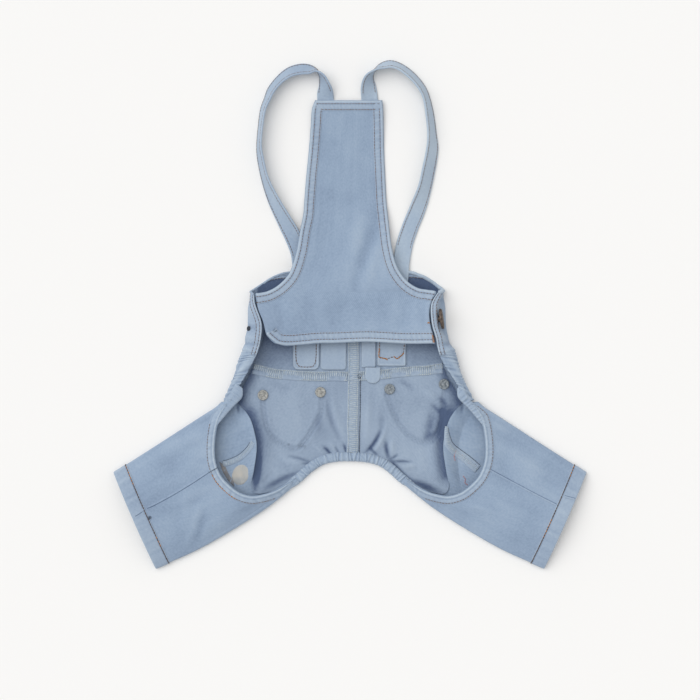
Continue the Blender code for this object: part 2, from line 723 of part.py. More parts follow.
def round_piece(name, profile, place, material, collection):
    """A round metal piece: a profile of (radius, height) rows turned about its own Z."""
    rows = []
    for radius, height in profile:
        ring = []
        for k in range(ROUND_STEPS):
            angle = 2 * math.pi * k / ROUND_STEPS
            ring.append((radius * math.cos(angle), radius * math.sin(angle), height))
        rows.append(ring)
    thing = solid_loft(name, rows, material, collection)
    thing.matrix_world = place
    return thing


def disc_profile(radius, height):
    """The profile of a disc with a softened rim, from its underside up."""
    return [(radius - RIM, 0.0), (radius, RIM), (radius, height - RIM), (radius - RIM, height)]


def make_rivet(name, x, y, material, collection):
    """The back of a pocket rivet, a flat disc on the inside of the seat."""
    place = Matrix.Translation(Vector((x, y, CLOTH + GAP)) * MM)
    return round_piece(name, disc_profile(RIVET_RADIUS, RIVET_HEIGHT), place, material,
                       collection)


def make_tack_button(material, collection):
    """The tack button on the right placket, on its shank on the steep side wall."""
    steps = 12
    section = side_section(1, BUTTON_ROW, steps=steps)
    nearby = side_section(1, BUTTON_ROW + 0.3, steps=steps)
    k = steps + BUTTON_STEP
    across = Vector(section[k + 1]) - Vector(section[k - 1])
    along = Vector(nearby[k]) - Vector(section[k])
    normal = along.cross(across).normalized()
    if normal.z < 0:
        normal.negate()
    place = normal.to_track_quat("Z", "Y").to_matrix().to_4x4()
    place.translation = (Vector(section[k]) + normal * GAP) * MM
    profile = [(BUTTON_SHANK_RADIUS, 0.0), (BUTTON_SHANK_RADIUS, BUTTON_SHANK)]
    for radius, height in disc_profile(BUTTON_RADIUS, BUTTON_HEIGHT):
        profile.append((radius, BUTTON_SHANK + height))
    return round_piece("tack_button", profile, place, material, collection)


def build():
    """Make every piece of the garment."""
    clear_scene()
    collection = bpy.data.collections.new("overalls")
    bpy.context.scene.collection.children.link(collection)
    denim = make_material("denim", DENIM, 0.85, 0.0)
    pale = make_material("denim_pale", DENIM_PALE, 0.85, 0.0)
    thread = make_material("overlock_thread", THREAD, 0.8, 0.0)
    metal = make_material("rivet_metal", METAL, 0.35, 1.0)
    bronze = make_material("button_bronze", BRONZE, 0.45, 1.0)

    for side, word in ((-1, "left"), (1, "right")):
        make_upper_back(side, "upper_back_" + word, denim, collection)
        make_seat(side, "seat_" + word, denim, collection)
        make_side(side, "side_" + word, 0.0, PLACKET_END - SIDE_SEAM, 8, 0, denim, collection)
        make_side(side, "side_casing_" + word, PLACKET_END, SIDE_END - SIDE_SEAM,
                  SIDE_GATHERS * 3, SIDE_GATHERS, pale, collection)
        make_leg(side, "leg_" + word, denim, collection)
        make_hem(side, "hem_" + word, pale, collection)
        make_opening_binding(side, "opening_binding_" + word, pale, collection)
        make_bib_binding(side, "bib_binding_" + word, pale, collection)
        waist = even_points(waist_line(side), 9)[1:]
        waist[-1] = (BACK_AXIS + side * (CENTRE_STRIP_HALF + 2 * GAP + 0.4), waist[-1][1])
        make_strip("waist_strip_" + word, waist, SEAM_STRIP_HALF, CLOTH + GAP, thread,
                   collection)

    make_arch_casing(pale, collection)
    make_bib(denim, pale, collection)
    make_strap("strap_left", STRAP_LEFT, -1, denim, collection)
    make_strap("strap_right", STRAP_RIGHT, 1, denim, collection)
    make_strip("centre_strip", CENTRE_SEAM, CENTRE_STRIP_HALF, CLOTH + GAP, thread,
               collection)
    for name, x, y, width, length, radius in TABS:
        make_plate(name, tab_outline(x, y, width, length, radius), CLOTH + GAP, TRIM,
                   pale, collection)
    for name, x, y in RIVETS:
        make_rivet(name, x, y, metal, collection)
    make_plate("waist_loop", loop_outline(), CLOTH + TRIM + 2 * GAP, TRIM, pale, collection)
    make_tack_button(bronze, collection)


build()
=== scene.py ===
# %% [markdown]
# # A small dog's denim overalls, laid flat
# The garment lies on its back with the belly side up and is seen from straight above.
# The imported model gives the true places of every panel, strap and metal piece. This script
# dresses it: each panel becomes a thin sheet of washed denim with its own folds, and then
# come the turned edges, the seams, the stitches and the metal.

# %% Load the fixed frame
import math

import bmesh
import bpy
import numpy as np
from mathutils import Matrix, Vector
from mathutils.bvhtree import BVHTree


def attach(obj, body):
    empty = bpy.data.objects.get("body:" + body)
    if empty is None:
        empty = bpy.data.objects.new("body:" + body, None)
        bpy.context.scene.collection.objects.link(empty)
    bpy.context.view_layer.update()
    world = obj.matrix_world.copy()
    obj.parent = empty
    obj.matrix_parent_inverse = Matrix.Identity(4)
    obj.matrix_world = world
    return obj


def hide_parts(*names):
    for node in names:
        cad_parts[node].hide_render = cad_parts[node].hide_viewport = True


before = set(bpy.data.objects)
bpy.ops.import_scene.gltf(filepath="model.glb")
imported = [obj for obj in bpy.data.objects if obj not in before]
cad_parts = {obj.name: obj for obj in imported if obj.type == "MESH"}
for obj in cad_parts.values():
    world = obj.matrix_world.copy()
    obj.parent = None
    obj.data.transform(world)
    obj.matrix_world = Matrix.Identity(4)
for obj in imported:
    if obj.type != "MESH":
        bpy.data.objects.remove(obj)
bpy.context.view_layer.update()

# %% [markdown]
# The camera looks straight down, so the picture's right is +X and its top is +Y. A long lens
# far away keeps the raised folds where they belong. The size of the view is worked out from
# the scale of the picture, 0.85 mm a pixel over 700 pixels.

# %% Camera
MM = 0.001
PICTURE_PIXELS = 700
PIXEL_MM = 0.85
PICTURE_CENTRE_Y = -30.6
LENS = 120.0
SENSOR = 36.0

view_width = PICTURE_PIXELS * PIXEL_MM * MM
camera_height = view_width * LENS / SENSOR
camera_data = bpy.data.cameras.new("camera")
camera_data.lens = LENS
camera_data.sensor_width = SENSOR
camera_data.clip_end = 10.0
camera = bpy.data.objects.new("camera", camera_data)
camera.location = (0.0, PICTURE_CENTRE_Y * MM, camera_height)
bpy.context.scene.collection.objects.link(camera)
bpy.context.scene.camera = camera
print("camera", round(camera_height, 3), "m above the floor")

# %% [markdown]
# A pale floor and broad, soft light from above give the even, nearly shadowless look of a
# catalogue picture. One very wide lamp far away at the upper left lights all of the floor
# alike, and a bright white world fills the hollows, so that only the deep folds go dark.

# %% Floor and light
FLOOR_SIZE = 3.0
FLOOR_COLOUR = (0.90, 0.893, 0.88, 1.0)
WORLD_STRENGTH = 0.66
LAMP_FROM = (-0.52, 0.38, 1.0)
LAMP_STRENGTH = 1.47
LAMP_SPREAD = 62.0


def plain_material(name, colour, roughness=0.8, metallic=0.0):
    """A new Principled material in one colour, with its nodes returned for more work."""
    material = bpy.data.materials.new(name)
    material.use_nodes = True
    shader = material.node_tree.nodes["Principled BSDF"]
    shader.inputs["Base Color"].default_value = colour
    shader.inputs["Roughness"].default_value = roughness
    shader.inputs["Metallic"].default_value = metallic
    return material


floor_mesh = bpy.data.meshes.new("floor")
half = FLOOR_SIZE / 2
floor_mesh.from_pydata([(-half, -half, 0), (half, -half, 0), (half, half, 0), (-half, half, 0)],
                       [], [(0, 1, 2, 3)])
floor_mesh.materials.append(plain_material("floor_paper", FLOOR_COLOUR, roughness=0.95))
floor = bpy.data.objects.new("floor", floor_mesh)
bpy.context.scene.collection.objects.link(floor)

world = bpy.data.worlds.new("studio")
world.use_nodes = True
world.node_tree.nodes["Background"].inputs["Color"].default_value = (1.0, 1.0, 1.0, 1.0)
world.node_tree.nodes["Background"].inputs["Strength"].default_value = WORLD_STRENGTH
bpy.context.scene.world = world

lamp_data = bpy.data.lights.new("wide_lamp", "SUN")
lamp_data.angle = math.radians(LAMP_SPREAD)
lamp_data.energy = LAMP_STRENGTH
lamp = bpy.data.objects.new("wide_lamp", lamp_data)
lamp.location = LAMP_FROM
lamp.rotation_euler = (-Vector(LAMP_FROM)).to_track_quat("-Z", "Y").to_euler()
bpy.context.scene.collection.objects.link(lamp)
bpy.context.scene.view_settings.view_transform = "Standard"
print("lamp from", LAMP_FROM, "strength", LAMP_STRENGTH)

# %% [markdown]
# The panels follow the same tables of sizes as the solids, in millimetres. Between two rows
# of a table a smooth curve is drawn, so a panel can have as many rows as its folds need.

# %% Curves through tables


def at_rows(table, rows):
    """Smooth values of a table at row numbers, which may lie between two rows."""
    table = np.array(table, dtype=float)
    rows = np.asarray(rows, dtype=float)
    last = len(table) - 1
    i = np.clip(rows.astype(int), 0, last - 1)
    t = (rows - i)[:, None]
    p0, p1, p2, p3 = (table[np.clip(i + k, 0, last)] for k in (-1, 0, 1, 2))
    slope_1 = (p2 - p0) / 2
    slope_2 = (p3 - p1) / 2
    cube = (2 * p1 - 2 * p2 + slope_1 + slope_2) * t ** 3
    square = (3 * p2 - 3 * p1 - 2 * slope_1 - slope_2) * t ** 2
    return cube + square + slope_1 * t + p1


def along(line):
    """Distance along a line of points, at each of its points."""
    steps = np.linalg.norm(np.diff(line, axis=0), axis=1)
    return np.concatenate([[0.0], np.cumsum(steps)])


def spaced(points, shares):
    """Points at given shares of the length of a smooth curve through the given points."""
    fine = at_rows(points, np.linspace(0, len(points) - 1, 24 * len(points)))
    length = along(fine)
    where = np.asarray(shares) * length[-1]
    return np.stack([np.interp(where, length, fine[:, k]) for k in range(fine.shape[1])], axis=1)


def even(points, count):
    """Points at even distances on a smooth curve through the given points."""
    return spaced(points, np.linspace(0, 1, count))


def eased(table, share):
    """Values of a two-column table at shares, with soft turns between its rows."""
    table = np.array(table, dtype=float)
    share = np.asarray(share, dtype=float)
    k = np.clip(np.searchsorted(table[:, 0], share, side="right") - 1, 0, len(table) - 2)
    t = np.clip((share - table[k, 0]) / (table[k + 1, 0] - table[k, 0]), 0, 1)
    return table[k, 1] + (table[k + 1, 1] - table[k, 1]) * t * t * (3 - 2 * t)


def sideways(line, distance):
    """A line in the plane, moved to its left by a distance."""
    line = np.asarray(line, dtype=float)
    step = np.gradient(line[:, :2], axis=0)
    step /= np.linalg.norm(step, axis=1)[:, None]
    moved = line.copy()
    moved[:, 0] -= step[:, 1] * distance
    moved[:, 1] += step[:, 0] * distance
    return moved


print("curve helpers ready")

# %% [markdown]
# Washed denim has a blue warp over a white weft, so up close it is a fine twill, and from a
# step away it is a cloudy light blue. Every panel stores a "tone" at its points, above zero
# where it is paler and below zero where it is darker, and the material mixes its colours by
# it. The tone is partly the wash, which fades high places and leaves deep folds in their
# dye, and partly painted light: painted shade in troughs, hollows and under other parts, and
# painted highlight on ridges. The weave follows the panel's own UV map, which is laid out in metres.

# %% Denim material
DENIM_FADED = (0.500, 0.590, 0.675, 1.0)
DENIM_MIDDLE = (0.278, 0.368, 0.498, 1.0)
DENIM_DEEP = (0.060, 0.095, 0.180, 1.0)
TWILL_PER_METRE = 620.0
CLOUD_PER_METRE = 22.0
STREAKS_PER_METRE = 130.0
CLOUD_GAIN = 2.2
# How far each finer pattern moves the mix of the colours
STREAK_SHARE = 0.16
TWILL_SHARE = 0.10
GRAIN_SHARE = 0.22
TONE_SHARE = 0.5


def denim(name, lift=0.0, cloud=0.10, grey=0.0):
    """A washed denim. lift makes it paler, cloud is how far the wash varies its tone, and
    grey takes colour out of its middle tone."""
    material = plain_material(name, DENIM_MIDDLE, roughness=0.88)
    nodes = material.node_tree.nodes
    links = material.node_tree.links
    shader = nodes["Principled BSDF"]
    shader.inputs["Sheen Weight"].default_value = 0.12
    shader.inputs["Sheen Roughness"].default_value = 0.6
    place = nodes.new("ShaderNodeTexCoord")
    tone = nodes.new("ShaderNodeAttribute")
    tone.attribute_name = "tone"

    def texture(kind, source, **inputs):
        node = nodes.new(kind)
        links.new(source, node.inputs["Vector"])
        for key, value in inputs.items():
            node.inputs[key].default_value = value
        return node

    def maths(operation, first, second, third=None):
        node = nodes.new("ShaderNodeMath")
        node.operation = operation
        for socket, value in zip(node.inputs, (first, second, third)):
            if value is None:
                continue
            if isinstance(value, (int, float)):
                socket.default_value = value
            else:
                links.new(value, socket)
        return node.outputs[0]

    clouds = texture("ShaderNodeTexNoise", place.outputs["Object"], Scale=CLOUD_PER_METRE,
                     Detail=3.0, Roughness=0.55)
    stretch = nodes.new("ShaderNodeMapping")
    stretch.inputs["Scale"].default_value = (STREAKS_PER_METRE, STREAKS_PER_METRE / 9, 1.0)
    links.new(place.outputs["UV"], stretch.inputs["Vector"])
    streaks = texture("ShaderNodeTexNoise", stretch.outputs["Vector"], Scale=1.0, Detail=2.0)
    fine = nodes.new("ShaderNodeMapping")
    fine.inputs["Rotation"].default_value = (0.0, 0.0, math.radians(28))
    fine.inputs["Scale"].default_value = (TWILL_PER_METRE, TWILL_PER_METRE, 1.0)
    links.new(place.outputs["UV"], fine.inputs["Vector"])
    twill = texture("ShaderNodeTexWave", fine.outputs["Vector"], Scale=0.5, Distortion=1.2,
                    Detail=1.0)
    grain = texture("ShaderNodeTexNoise", fine.outputs["Vector"], Scale=0.8, Detail=1.0)

    swing = cloud * CLOUD_GAIN
    share = maths("MULTIPLY_ADD", clouds.outputs["Fac"], 2 * swing, 0.5 - swing + lift)
    for pattern, amount in ((streaks, STREAK_SHARE), (twill, TWILL_SHARE), (grain, GRAIN_SHARE)):
        share = maths("MULTIPLY_ADD", pattern.outputs["Fac"], amount, maths("ADD", share, -amount / 2))
    share = maths("MULTIPLY_ADD", tone.outputs["Fac"], TONE_SHARE, share)
    ramp = nodes.new("ShaderNodeValToRGB")
    ramp.color_ramp.elements[0].position = 0.0
    ramp.color_ramp.elements[0].color = DENIM_DEEP
    ramp.color_ramp.elements[1].position = 1.0
    ramp.color_ramp.elements[1].color = DENIM_FADED
    plain = sum(DENIM_MIDDLE[:3]) / 3
    middle = ramp.color_ramp.elements.new(0.5)
    middle.color = tuple(v + (plain - v) * grey for v in DENIM_MIDDLE[:3]) + (1.0,)
    links.new(share, ramp.inputs["Fac"])
    links.new(ramp.outputs["Color"], shader.inputs["Base Color"])

    bump = nodes.new("ShaderNodeBump")
    bump.inputs["Strength"].default_value = 0.35
    bump.inputs["Distance"].default_value = 0.00025
    height = maths("MULTIPLY_ADD", grain.outputs["Fac"], 0.8, twill.outputs["Fac"])
    links.new(height, bump.inputs["Height"])
    links.new(bump.outputs["Normal"], shader.inputs["Normal"])
    return material


outer_denim = denim("denim_outer")
inner_denim = denim("denim_inner", lift=-0.02, cloud=0.08, grey=0.12)
turned_denim = denim("denim_turned", lift=0.06, cloud=0.08, grey=0.08)
gathered_denim = denim("denim_gathered", lift=0.05, cloud=0.12, grey=0.06)
print("denims", [m.name for m in (outer_denim, inner_denim, turned_denim, gathered_denim)])

# %% [markdown]
# A sheet of cloth is a grid of points. The points are the outer face, and a Solidify
# modifier gives the wall behind it. Each grid gets its UV map from the lengths of its own
# rows and columns, so the weave is neither stretched nor turned, and the "tone" of its
# points. A list of creases lowers or lifts the points: each is a soft line with a width and
# a depth, which fades out towards its ends. Each crease also paints its tone along the
# line: painted shade in a trough and painted highlight on a ridge.

# %% Sheets of cloth with creases
WALL = 1.1
SLAB_SHARP = 55.0
CREASE_POINTS = 9
# Waves are a sum of a few layers, whose usual sum brings them back to about one
WAVE_LAYERS = 5
WAVE_SUM = 2.2


def soft(distance, width, middle=0.0):
    """A soft hump: one where the distance is at its middle, and almost nothing past its width."""
    return np.exp(-((distance - middle) / width) ** 2)


def nearest_on(points, line):
    """Distance of points from a line in the plane, and how many steps along it they lie."""
    best = np.full(len(points), 1e9)
    place = np.zeros(len(points))
    for k in range(len(line) - 1):
        step = line[k + 1] - line[k]
        part = np.clip(((points - line[k]) @ step) / (step @ step), 0, 1)
        gap = np.linalg.norm(points - (line[k] + part[:, None] * step), axis=1)
        nearer = gap < best
        best[nearer] = gap[nearer]
        place[nearer] = k + part[nearer]
    return best, place


def crease_relief(points, creases):
    """Height and tone that a table of creases gives to points seen from above. The tone is
    painted shade along a trough and painted highlight along a ridge. A crease has
    the x and y of its start and end, its bow, its width, its depth and its tone."""
    height = np.zeros(len(points))
    tone = np.zeros(len(points))
    for x0, y0, x1, y1, bow, width, depth, shade in creases:
        start = np.array([x0, y0])
        end = np.array([x1, y1])
        across = np.array([-(y1 - y0), x1 - x0])
        t = np.linspace(0, 1, CREASE_POINTS)[:, None]
        line = start + (end - start) * t + across * bow * 4 * t * (1 - t)
        gap, place = nearest_on(points[:, :2], line)
        share = np.clip(place / (CREASE_POINTS - 1), 0.02, 0.98)
        strength = soft(gap, width) * np.sin(math.pi * share) ** 0.7
        height += depth * strength
        tone += shade * strength
    return height, tone


def wrapped_round(grid):
    """A grid with its first column once more at its end."""
    return np.concatenate([grid, grid[:, :1]], axis=1)


def quads(index):
    """The four corners of each cell of a grid of numbers."""
    corners = (index[:-1, :-1], index[:-1, 1:], index[1:, 1:], index[1:, :-1])
    return np.stack(corners, axis=-1).reshape(-1, 4)


def cloth_mesh(name, rows, facing, closed=False, tone=None):
    """A mesh over a grid of points in millimetres, with its UV map and tone."""
    grid = np.asarray(rows, dtype=float)
    points = grid.reshape(-1, 3)
    index = np.arange(len(points)).reshape(grid.shape[:2])
    across = wrapped_round(grid) if closed else grid
    faces = quads(wrapped_round(index) if closed else index)
    first, second, third, fourth = (points[faces[:, k]] for k in range(4))
    normal = np.cross(third - first, fourth - second)
    wanted = normal[:, 2].sum()
    if facing == "out":
        middle = 0.5 * (grid[:-1].mean(axis=1) + grid[1:].mean(axis=1))
        outwards = points[faces].mean(axis=1) - np.repeat(middle, across.shape[1] - 1, axis=0)
        wanted = (outwards * normal).sum()
    flat = np.zeros(across.shape[:2] + (2,))
    flat[:, 1:, 0] = np.cumsum(np.linalg.norm(np.diff(across, axis=1), axis=2).mean(axis=0))[None, :]
    flat[1:, :, 1] = np.cumsum(np.linalg.norm(np.diff(across, axis=0), axis=2).mean(axis=1))[:, None]
    flat = flat.reshape(-1, 2) * MM
    corner = quads(np.arange(len(flat)).reshape(across.shape[:2]))
    if wanted < 0:
        faces, corner = faces[:, ::-1], corner[:, ::-1]
    mesh = bpy.data.meshes.new(name)
    mesh.from_pydata((points * MM).tolist(), [], faces.tolist())
    layer = mesh.uv_layers.new(name="UVMap")
    layer.data.foreach_set("uv", flat[corner.ravel()].ravel())
    values = mesh.attributes.new("tone", "FLOAT", "POINT")
    if tone is not None:
        values.data.foreach_set("value", np.asarray(tone).ravel())
    mesh.shade_smooth()
    return mesh


# The grid of every panel and strip, kept to measure the cut of the cloth
panels = {}


def add_piece(name, mesh, material):
    """Put a mesh into the scene as a piece that rides with the garment."""
    mesh.materials.append(material)
    piece = bpy.data.objects.new(name, mesh)
    bpy.context.scene.collection.objects.link(piece)
    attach(piece, "root")
    print(name, "faces", len(mesh.polygons))
    return piece


def placed(*names):
    """The pieces with these names."""
    return [bpy.data.objects[name] for name in names]


def sheet_piece(name, rows, facing, material, closed=False, tone=None, wall=WALL):
    """A panel of cloth with its wall."""
    piece = add_piece(name, cloth_mesh(name, rows, facing, closed, tone), material)
    panels[name] = (np.asarray(rows, dtype=float), "tube" if closed else "sheet")
    thickness = piece.modifiers.new("wall", "SOLIDIFY")
    thickness.thickness = wall * MM
    thickness.offset = -1.0
    return piece


def slab_piece(name, rows, tone, material, under_material, base=0.0):
    """A panel that lies flat: its upper face has folds, and its underside is level at the
    height base, or follows base where that gives a height for every point."""
    grid = np.asarray(rows, dtype=float)
    count, width = grid.shape[:2]
    panels[name] = (grid, "sheet")
    mesh = cloth_mesh(name, grid, "up", tone=tone)
    shape = bmesh.new()
    shape.from_mesh(mesh)
    shape.verts.ensure_lookup_table()
    upper = list(shape.verts)
    under = np.broadcast_to(np.asarray(base, dtype=float), (count, width)).ravel() * MM
    lower = [shape.verts.new((v.co.x, v.co.y, z)) for v, z in zip(upper, under)]
    partner = dict(zip(upper, lower))
    uv = shape.loops.layers.uv.active
    borders = [e for e in shape.edges if e.is_boundary]
    for face in list(shape.faces):
        twin = shape.faces.new([partner[v] for v in reversed(face.verts)])
        twin.material_index = 1
        for loop, source in zip(twin.loops, reversed(face.loops)):
            loop[uv].uv = source[uv].uv
    for edge in borders:
        loop = edge.link_loops[0]
        a, b = loop.vert, loop.link_loop_next.vert
        shape.faces.new((b, a, partner[a], partner[b]))
    shape.to_mesh(mesh)
    shape.free()
    mesh.shade_smooth()
    mesh.set_sharp_from_angle(angle=math.radians(SLAB_SHARP))
    piece = add_piece(name, mesh, material)
    mesh.materials.append(under_material)
    return piece


def normals_of(rows, closed=False):
    """Unit normals at the points of a grid."""
    grid = np.asarray(rows, dtype=float)
    if closed:
        wrapped = np.concatenate([grid[:, -1:], grid, grid[:, :1]], axis=1)
        across = (wrapped[:, 2:] - wrapped[:, :-2]) / 2
    else:
        across = np.gradient(grid, axis=1)
    down = np.gradient(grid, axis=0)
    normal = np.cross(across, down)
    return normal / np.maximum(np.linalg.norm(normal, axis=2, keepdims=True), 1e-9)


def waves(length_mm, amount, period, seed):
    """Uneven waves along a length: pulled-up cloth is never regular."""
    random = np.random.default_rng(seed)
    total = np.zeros_like(length_mm)
    for _ in range(WAVE_LAYERS):
        stretch = period * random.uniform(0.65, 1.6)
        strength = random.uniform(0.4, 1.0)
        total += strength * np.sin(2 * math.pi * length_mm / stretch + random.uniform(0, 6.28))
    return amount * total / WAVE_SUM


print("sheet helpers ready")

# %% [markdown]
# ## The bib
# The bib is the long belly panel. It lies flat at its top, climbs over the body and is held
# up at its flared corners by the sides. The sheet is drawn row by row from its top edge to
# its hem, and broad soft folds fan down from the neck to the hem.

# %% Bib surface
CLOTH = 1.4
BIB = (
    # left x and y, right x and y, height of the middle and of the edges
    (-29.6, 181.3, 27.4, 181.3, 2.5, 2.5),
    (-32.3, 173.4, 28.1, 173.4, 2.5, 2.5),
    (-33.2, 160.7, 28.5, 160.7, 1.6, 1.6),
    (-34.9, 139.4, 28.9, 139.4, 0.0, 0.0),
    (-37.0, 118.2, 29.8, 118.2, 0.0, 0.0),
    (-38.7, 96.9, 30.8, 96.9, 0.2, 0.6),
    (-39.6, 84.2, 32.0, 84.2, 1.4, 2.8),
    (-42.3, 70.6, 33.4, 71.5, 3.2, 4.6),
    (-45.2, 53.2, 35.2, 57.0, 5.6, 6.8),
    (-49.8, 37.8, 38.6, 43.0, 8.0, 8.8),
    (-54.5, 30.1, 43.4, 33.6, 9.0, 9.8),
    (-61.7, 23.4, 50.0, 26.2, 9.6, 10.8),
    (-69.4, 19.2, 58.0, 21.6, 10.0, 11.8),
    (-76.6, 17.6, 66.0, 20.2, 10.2, 12.6),
    (-79.6, 16.9, 72.7, 18.4, 10.3, 13.2),
    (-78.8, 11.0, 69.0, 11.5, 10.4, 14.0),
    (-77.0, 2.0, 66.8, 2.0, 10.5, 15.5),
    (-73.2, -8.0, 67.2, -8.0, 10.5, 16.6),
    (-70.6, -19.6, 70.2, -20.4, 10.5, 17.0),
    (-68.6, -23.6, 71.3, -25.4, 10.5, 16.8),
)
BIB_HEM_DIP = ((0.0, 4.0), (0.045, -1.6), (0.1, -3.2), (0.35, -0.6), (0.6, 0.9), (0.85, -0.3), (1.0, 0.2))
# The tone of the bib's creases is painted shade in a trough and painted highlight on a ridge
BIB_CREASES = (
    # start x and y, end x and y, bow, width, depth, tone
    (22.0, 80.0, 3.0, 8.0, -0.04, 5.0, -1.0, -0.20),
    (30.0, 76.0, 15.0, 16.0, -0.04, 4.6, 0.8, 0.10),
    (-36.0, 52.0, -43.0, -14.0, 0.03, 9.0, -0.6, -0.10),
    (22.0, 92.0, 8.0, 34.0, 0.06, 7.0, -0.9, -0.16),
    (10.0, 88.0, -2.0, 28.0, 0.04, 8.0, 0.7, 0.12),
    (-14.0, 80.0, -26.0, 24.0, -0.05, 9.0, -0.7, -0.12),
    (30.0, 74.0, 30.0, 10.0, 0.08, 8.0, 0.8, 0.10),
    (-34.0, 56.0, -48.0, 8.0, -0.06, 8.0, 0.6, 0.07),
    (-5.0, 30.0, -12.0, -14.0, 0.05, 8.0, -0.5, -0.10),
    (48.0, 18.0, 40.0, -16.0, 0.08, 6.0, -0.7, -0.10),
    (60.0, 14.0, 66.0, -14.0, -0.05, 4.0, -0.6, -0.16),
    (-66.0, 12.0, -58.0, -16.0, 0.10, 4.5, -0.8, -0.18),
    (-52.0, 12.0, -44.0, -14.0, 0.05, 6.0, 0.5, 0.06),
    (-8.0, 168.0, 2.0, 122.0, 0.03, 10.0, 0.4, 0.05),
    (12.0, 150.0, 16.0, 104.0, 0.05, 8.0, -0.35, -0.06),
    (-22.0, 140.0, -24.0, 98.0, -0.04, 8.0, -0.35, -0.05),
)
BIB_ROWS = 230
BIB_ACROSS = 84
BIB_HEM_ROW = 15


def bib_points(rows, shares):
    """Points of the bib's underside on a grid of table rows and shares across."""
    values = at_rows(BIB, rows)
    share = np.asarray(shares)[None, :]
    grid = np.zeros((len(values), share.shape[1], 3))
    grid[..., 0] = values[:, 0:1] + (values[:, 2:3] - values[:, 0:1]) * share
    grid[..., 1] = values[:, 1:2] + (values[:, 3:4] - values[:, 1:2]) * share
    reach = np.clip((np.asarray(rows) - BIB_HEM_ROW) / (len(BIB) - 1 - BIB_HEM_ROW), 0, 1)[:, None]
    grid[..., 1] += eased(BIB_HEM_DIP, share[0])[None, :] * reach
    off_middle = np.abs(2 * share - 1) ** 2.5
    grid[..., 2] = np.maximum(0, values[:, 4:5] + (values[:, 5:6] - values[:, 4:5]) * off_middle)
    return grid


bib_grid = bib_points(np.linspace(0, len(BIB) - 1, BIB_ROWS), np.linspace(0, 1, BIB_ACROSS))
bib_grid[..., 2] += CLOTH
lift, tone = crease_relief(bib_grid.reshape(-1, 3), BIB_CREASES)
bib_grid[..., 2] += lift.reshape(bib_grid.shape[:2])
bib_cloth = sheet_piece("bib_cloth", bib_grid, "up", outer_denim, tone=tone)
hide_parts("bib", "bib_hem")

# %% [markdown]
# ## The back and the seat
# The back panels lie on the floor, inside face up. Each half is a patch stretched between
# its four borders: the middle seam, the waist seam, the side, and the leg or neck edge.
# The seat is the part that shows most between the legs. Creases fan out from the gathered
# crotch, and the stitching of the two back pockets, which are on the outside, shows through
# as shallow dents in the shape of a U.

# %% Back and seat panels
# The sign of X and the word of each side
BOTH_SIDES = ((-1, "left"), (1, "right"))
BACK_AXIS = 3.0
CASING_HALF = 3.8
SIDE_LEFT = (
    # fold x and y, floor x and y, front edge x and y, height, how steep
    (-84.2, 18.7, -70.5, 28.0, -80.8, 15.3, 13.0, 0.0),
    (-85.9, 7.7, -70.0, 12.0, -79.8, 7.7, 15.5, 0.0),
    (-86.7, -7.7, -71.0, -6.0, -74.6, -7.7, 18.0, 0.0),
    (-88.4, -20.4, -73.0, -20.4, -75.0, -20.4, 18.0, 0.0),
    (-91.0, -30.6, -76.0, -30.6, -77.4, -30.6, 16.5, 0.0),
    (-94.2, -39.1, -80.0, -39.1, -81.0, -39.1, 14.5, 0.0),
    (-97.8, -51.0, -84.0, -51.0, -87.6, -51.0, 13.0, 0.0),
    (-102.0, -60.4, -89.0, -60.4, -93.5, -60.4, 12.0, 0.0),
    (-106.8, -73.1, -94.2, -73.6, -100.8, -73.1, 11.0, 0.0),
)
SIDE_RIGHT = (
    (79.5, 19.6, 66.3, 29.8, 74.0, 17.9, 13.0, 0.2),
    (81.0, 7.7, 65.0, 12.0, 68.4, 7.7, 16.0, 0.9),
    (81.8, -7.7, 66.0, -6.0, 68.9, -7.7, 18.0, 1.0),
    (84.2, -20.4, 69.0, -20.4, 72.3, -20.4, 18.0, 0.6),
    (88.4, -30.6, 73.5, -30.6, 74.4, -31.0, 16.5, 0.0),
    (91.2, -39.1, 76.5, -39.1, 77.6, -39.1, 14.5, 0.0),
    (94.6, -51.0, 80.5, -51.0, 85.0, -51.0, 13.0, 0.0),
    (98.4, -60.4, 86.0, -60.4, 91.0, -60.4, 12.0, 0.0),
    (104.8, -73.1, 93.2, -73.6, 98.8, -73.1, 11.0, 0.0),
)
# A straight wall over a low bulge, in even steps from the floor to the front edge: shares
# of the way from the fold to the floor and to the front edge, and of the height
STEEP_WALL = (
    (1.0, 0.0, 0.0), (0.5, 0.0, 0.0), (0.08, 0.0, 0.05), (0.0, 0.06, 0.20), (0.0, 0.42, 0.31),
    (0.0, 0.53, 0.52), (0.0, 0.56, 0.78), (0.0, 0.62, 0.95), (0.0, 1.0, 1.0),
)
PLACKET_END = 4.0
WAIST_ROW = 5.6
SIDE_END = 8.0
SIDE_TABLE = {-1: SIDE_LEFT, 1: SIDE_RIGHT}
BACK_TOP = {
    -1: ((-61.7, 32.6), (-51.4, 35.2), (-25.0, 37.6), (BACK_AXIS, 38.4)),
    1: ((58.0, 33.0), (50.7, 35.2), (27.0, 37.6), (BACK_AXIS, 38.4)),
}
WAIST = {
    -1: ((-65.5, -50.0), (-42.5, -52.3), (BACK_AXIS, -52.8)),
    1: ((46.8, -49.0), (25.5, -51.2), (BACK_AXIS, -52.8)),
}
SEAT_SEAM = (
    (95.0, -75.6), (85.0, -88.0), (80.0, -104.0), (79.0, -115.0), (81.0, -130.0),
    (84.0, -145.0), (80.0, -152.5), (66.0, -150.5), (57.0, -146.4), (50.0, -142.6),
)
ARCH = (
    (-44.0, -139.4), (-34.2, -130.6), (-23.4, -124.1), (-11.9, -121.6), (0.0, -121.1),
    (13.6, -122.0), (25.6, -125.2), (35.2, -131.4), (44.0, -139.4),
)
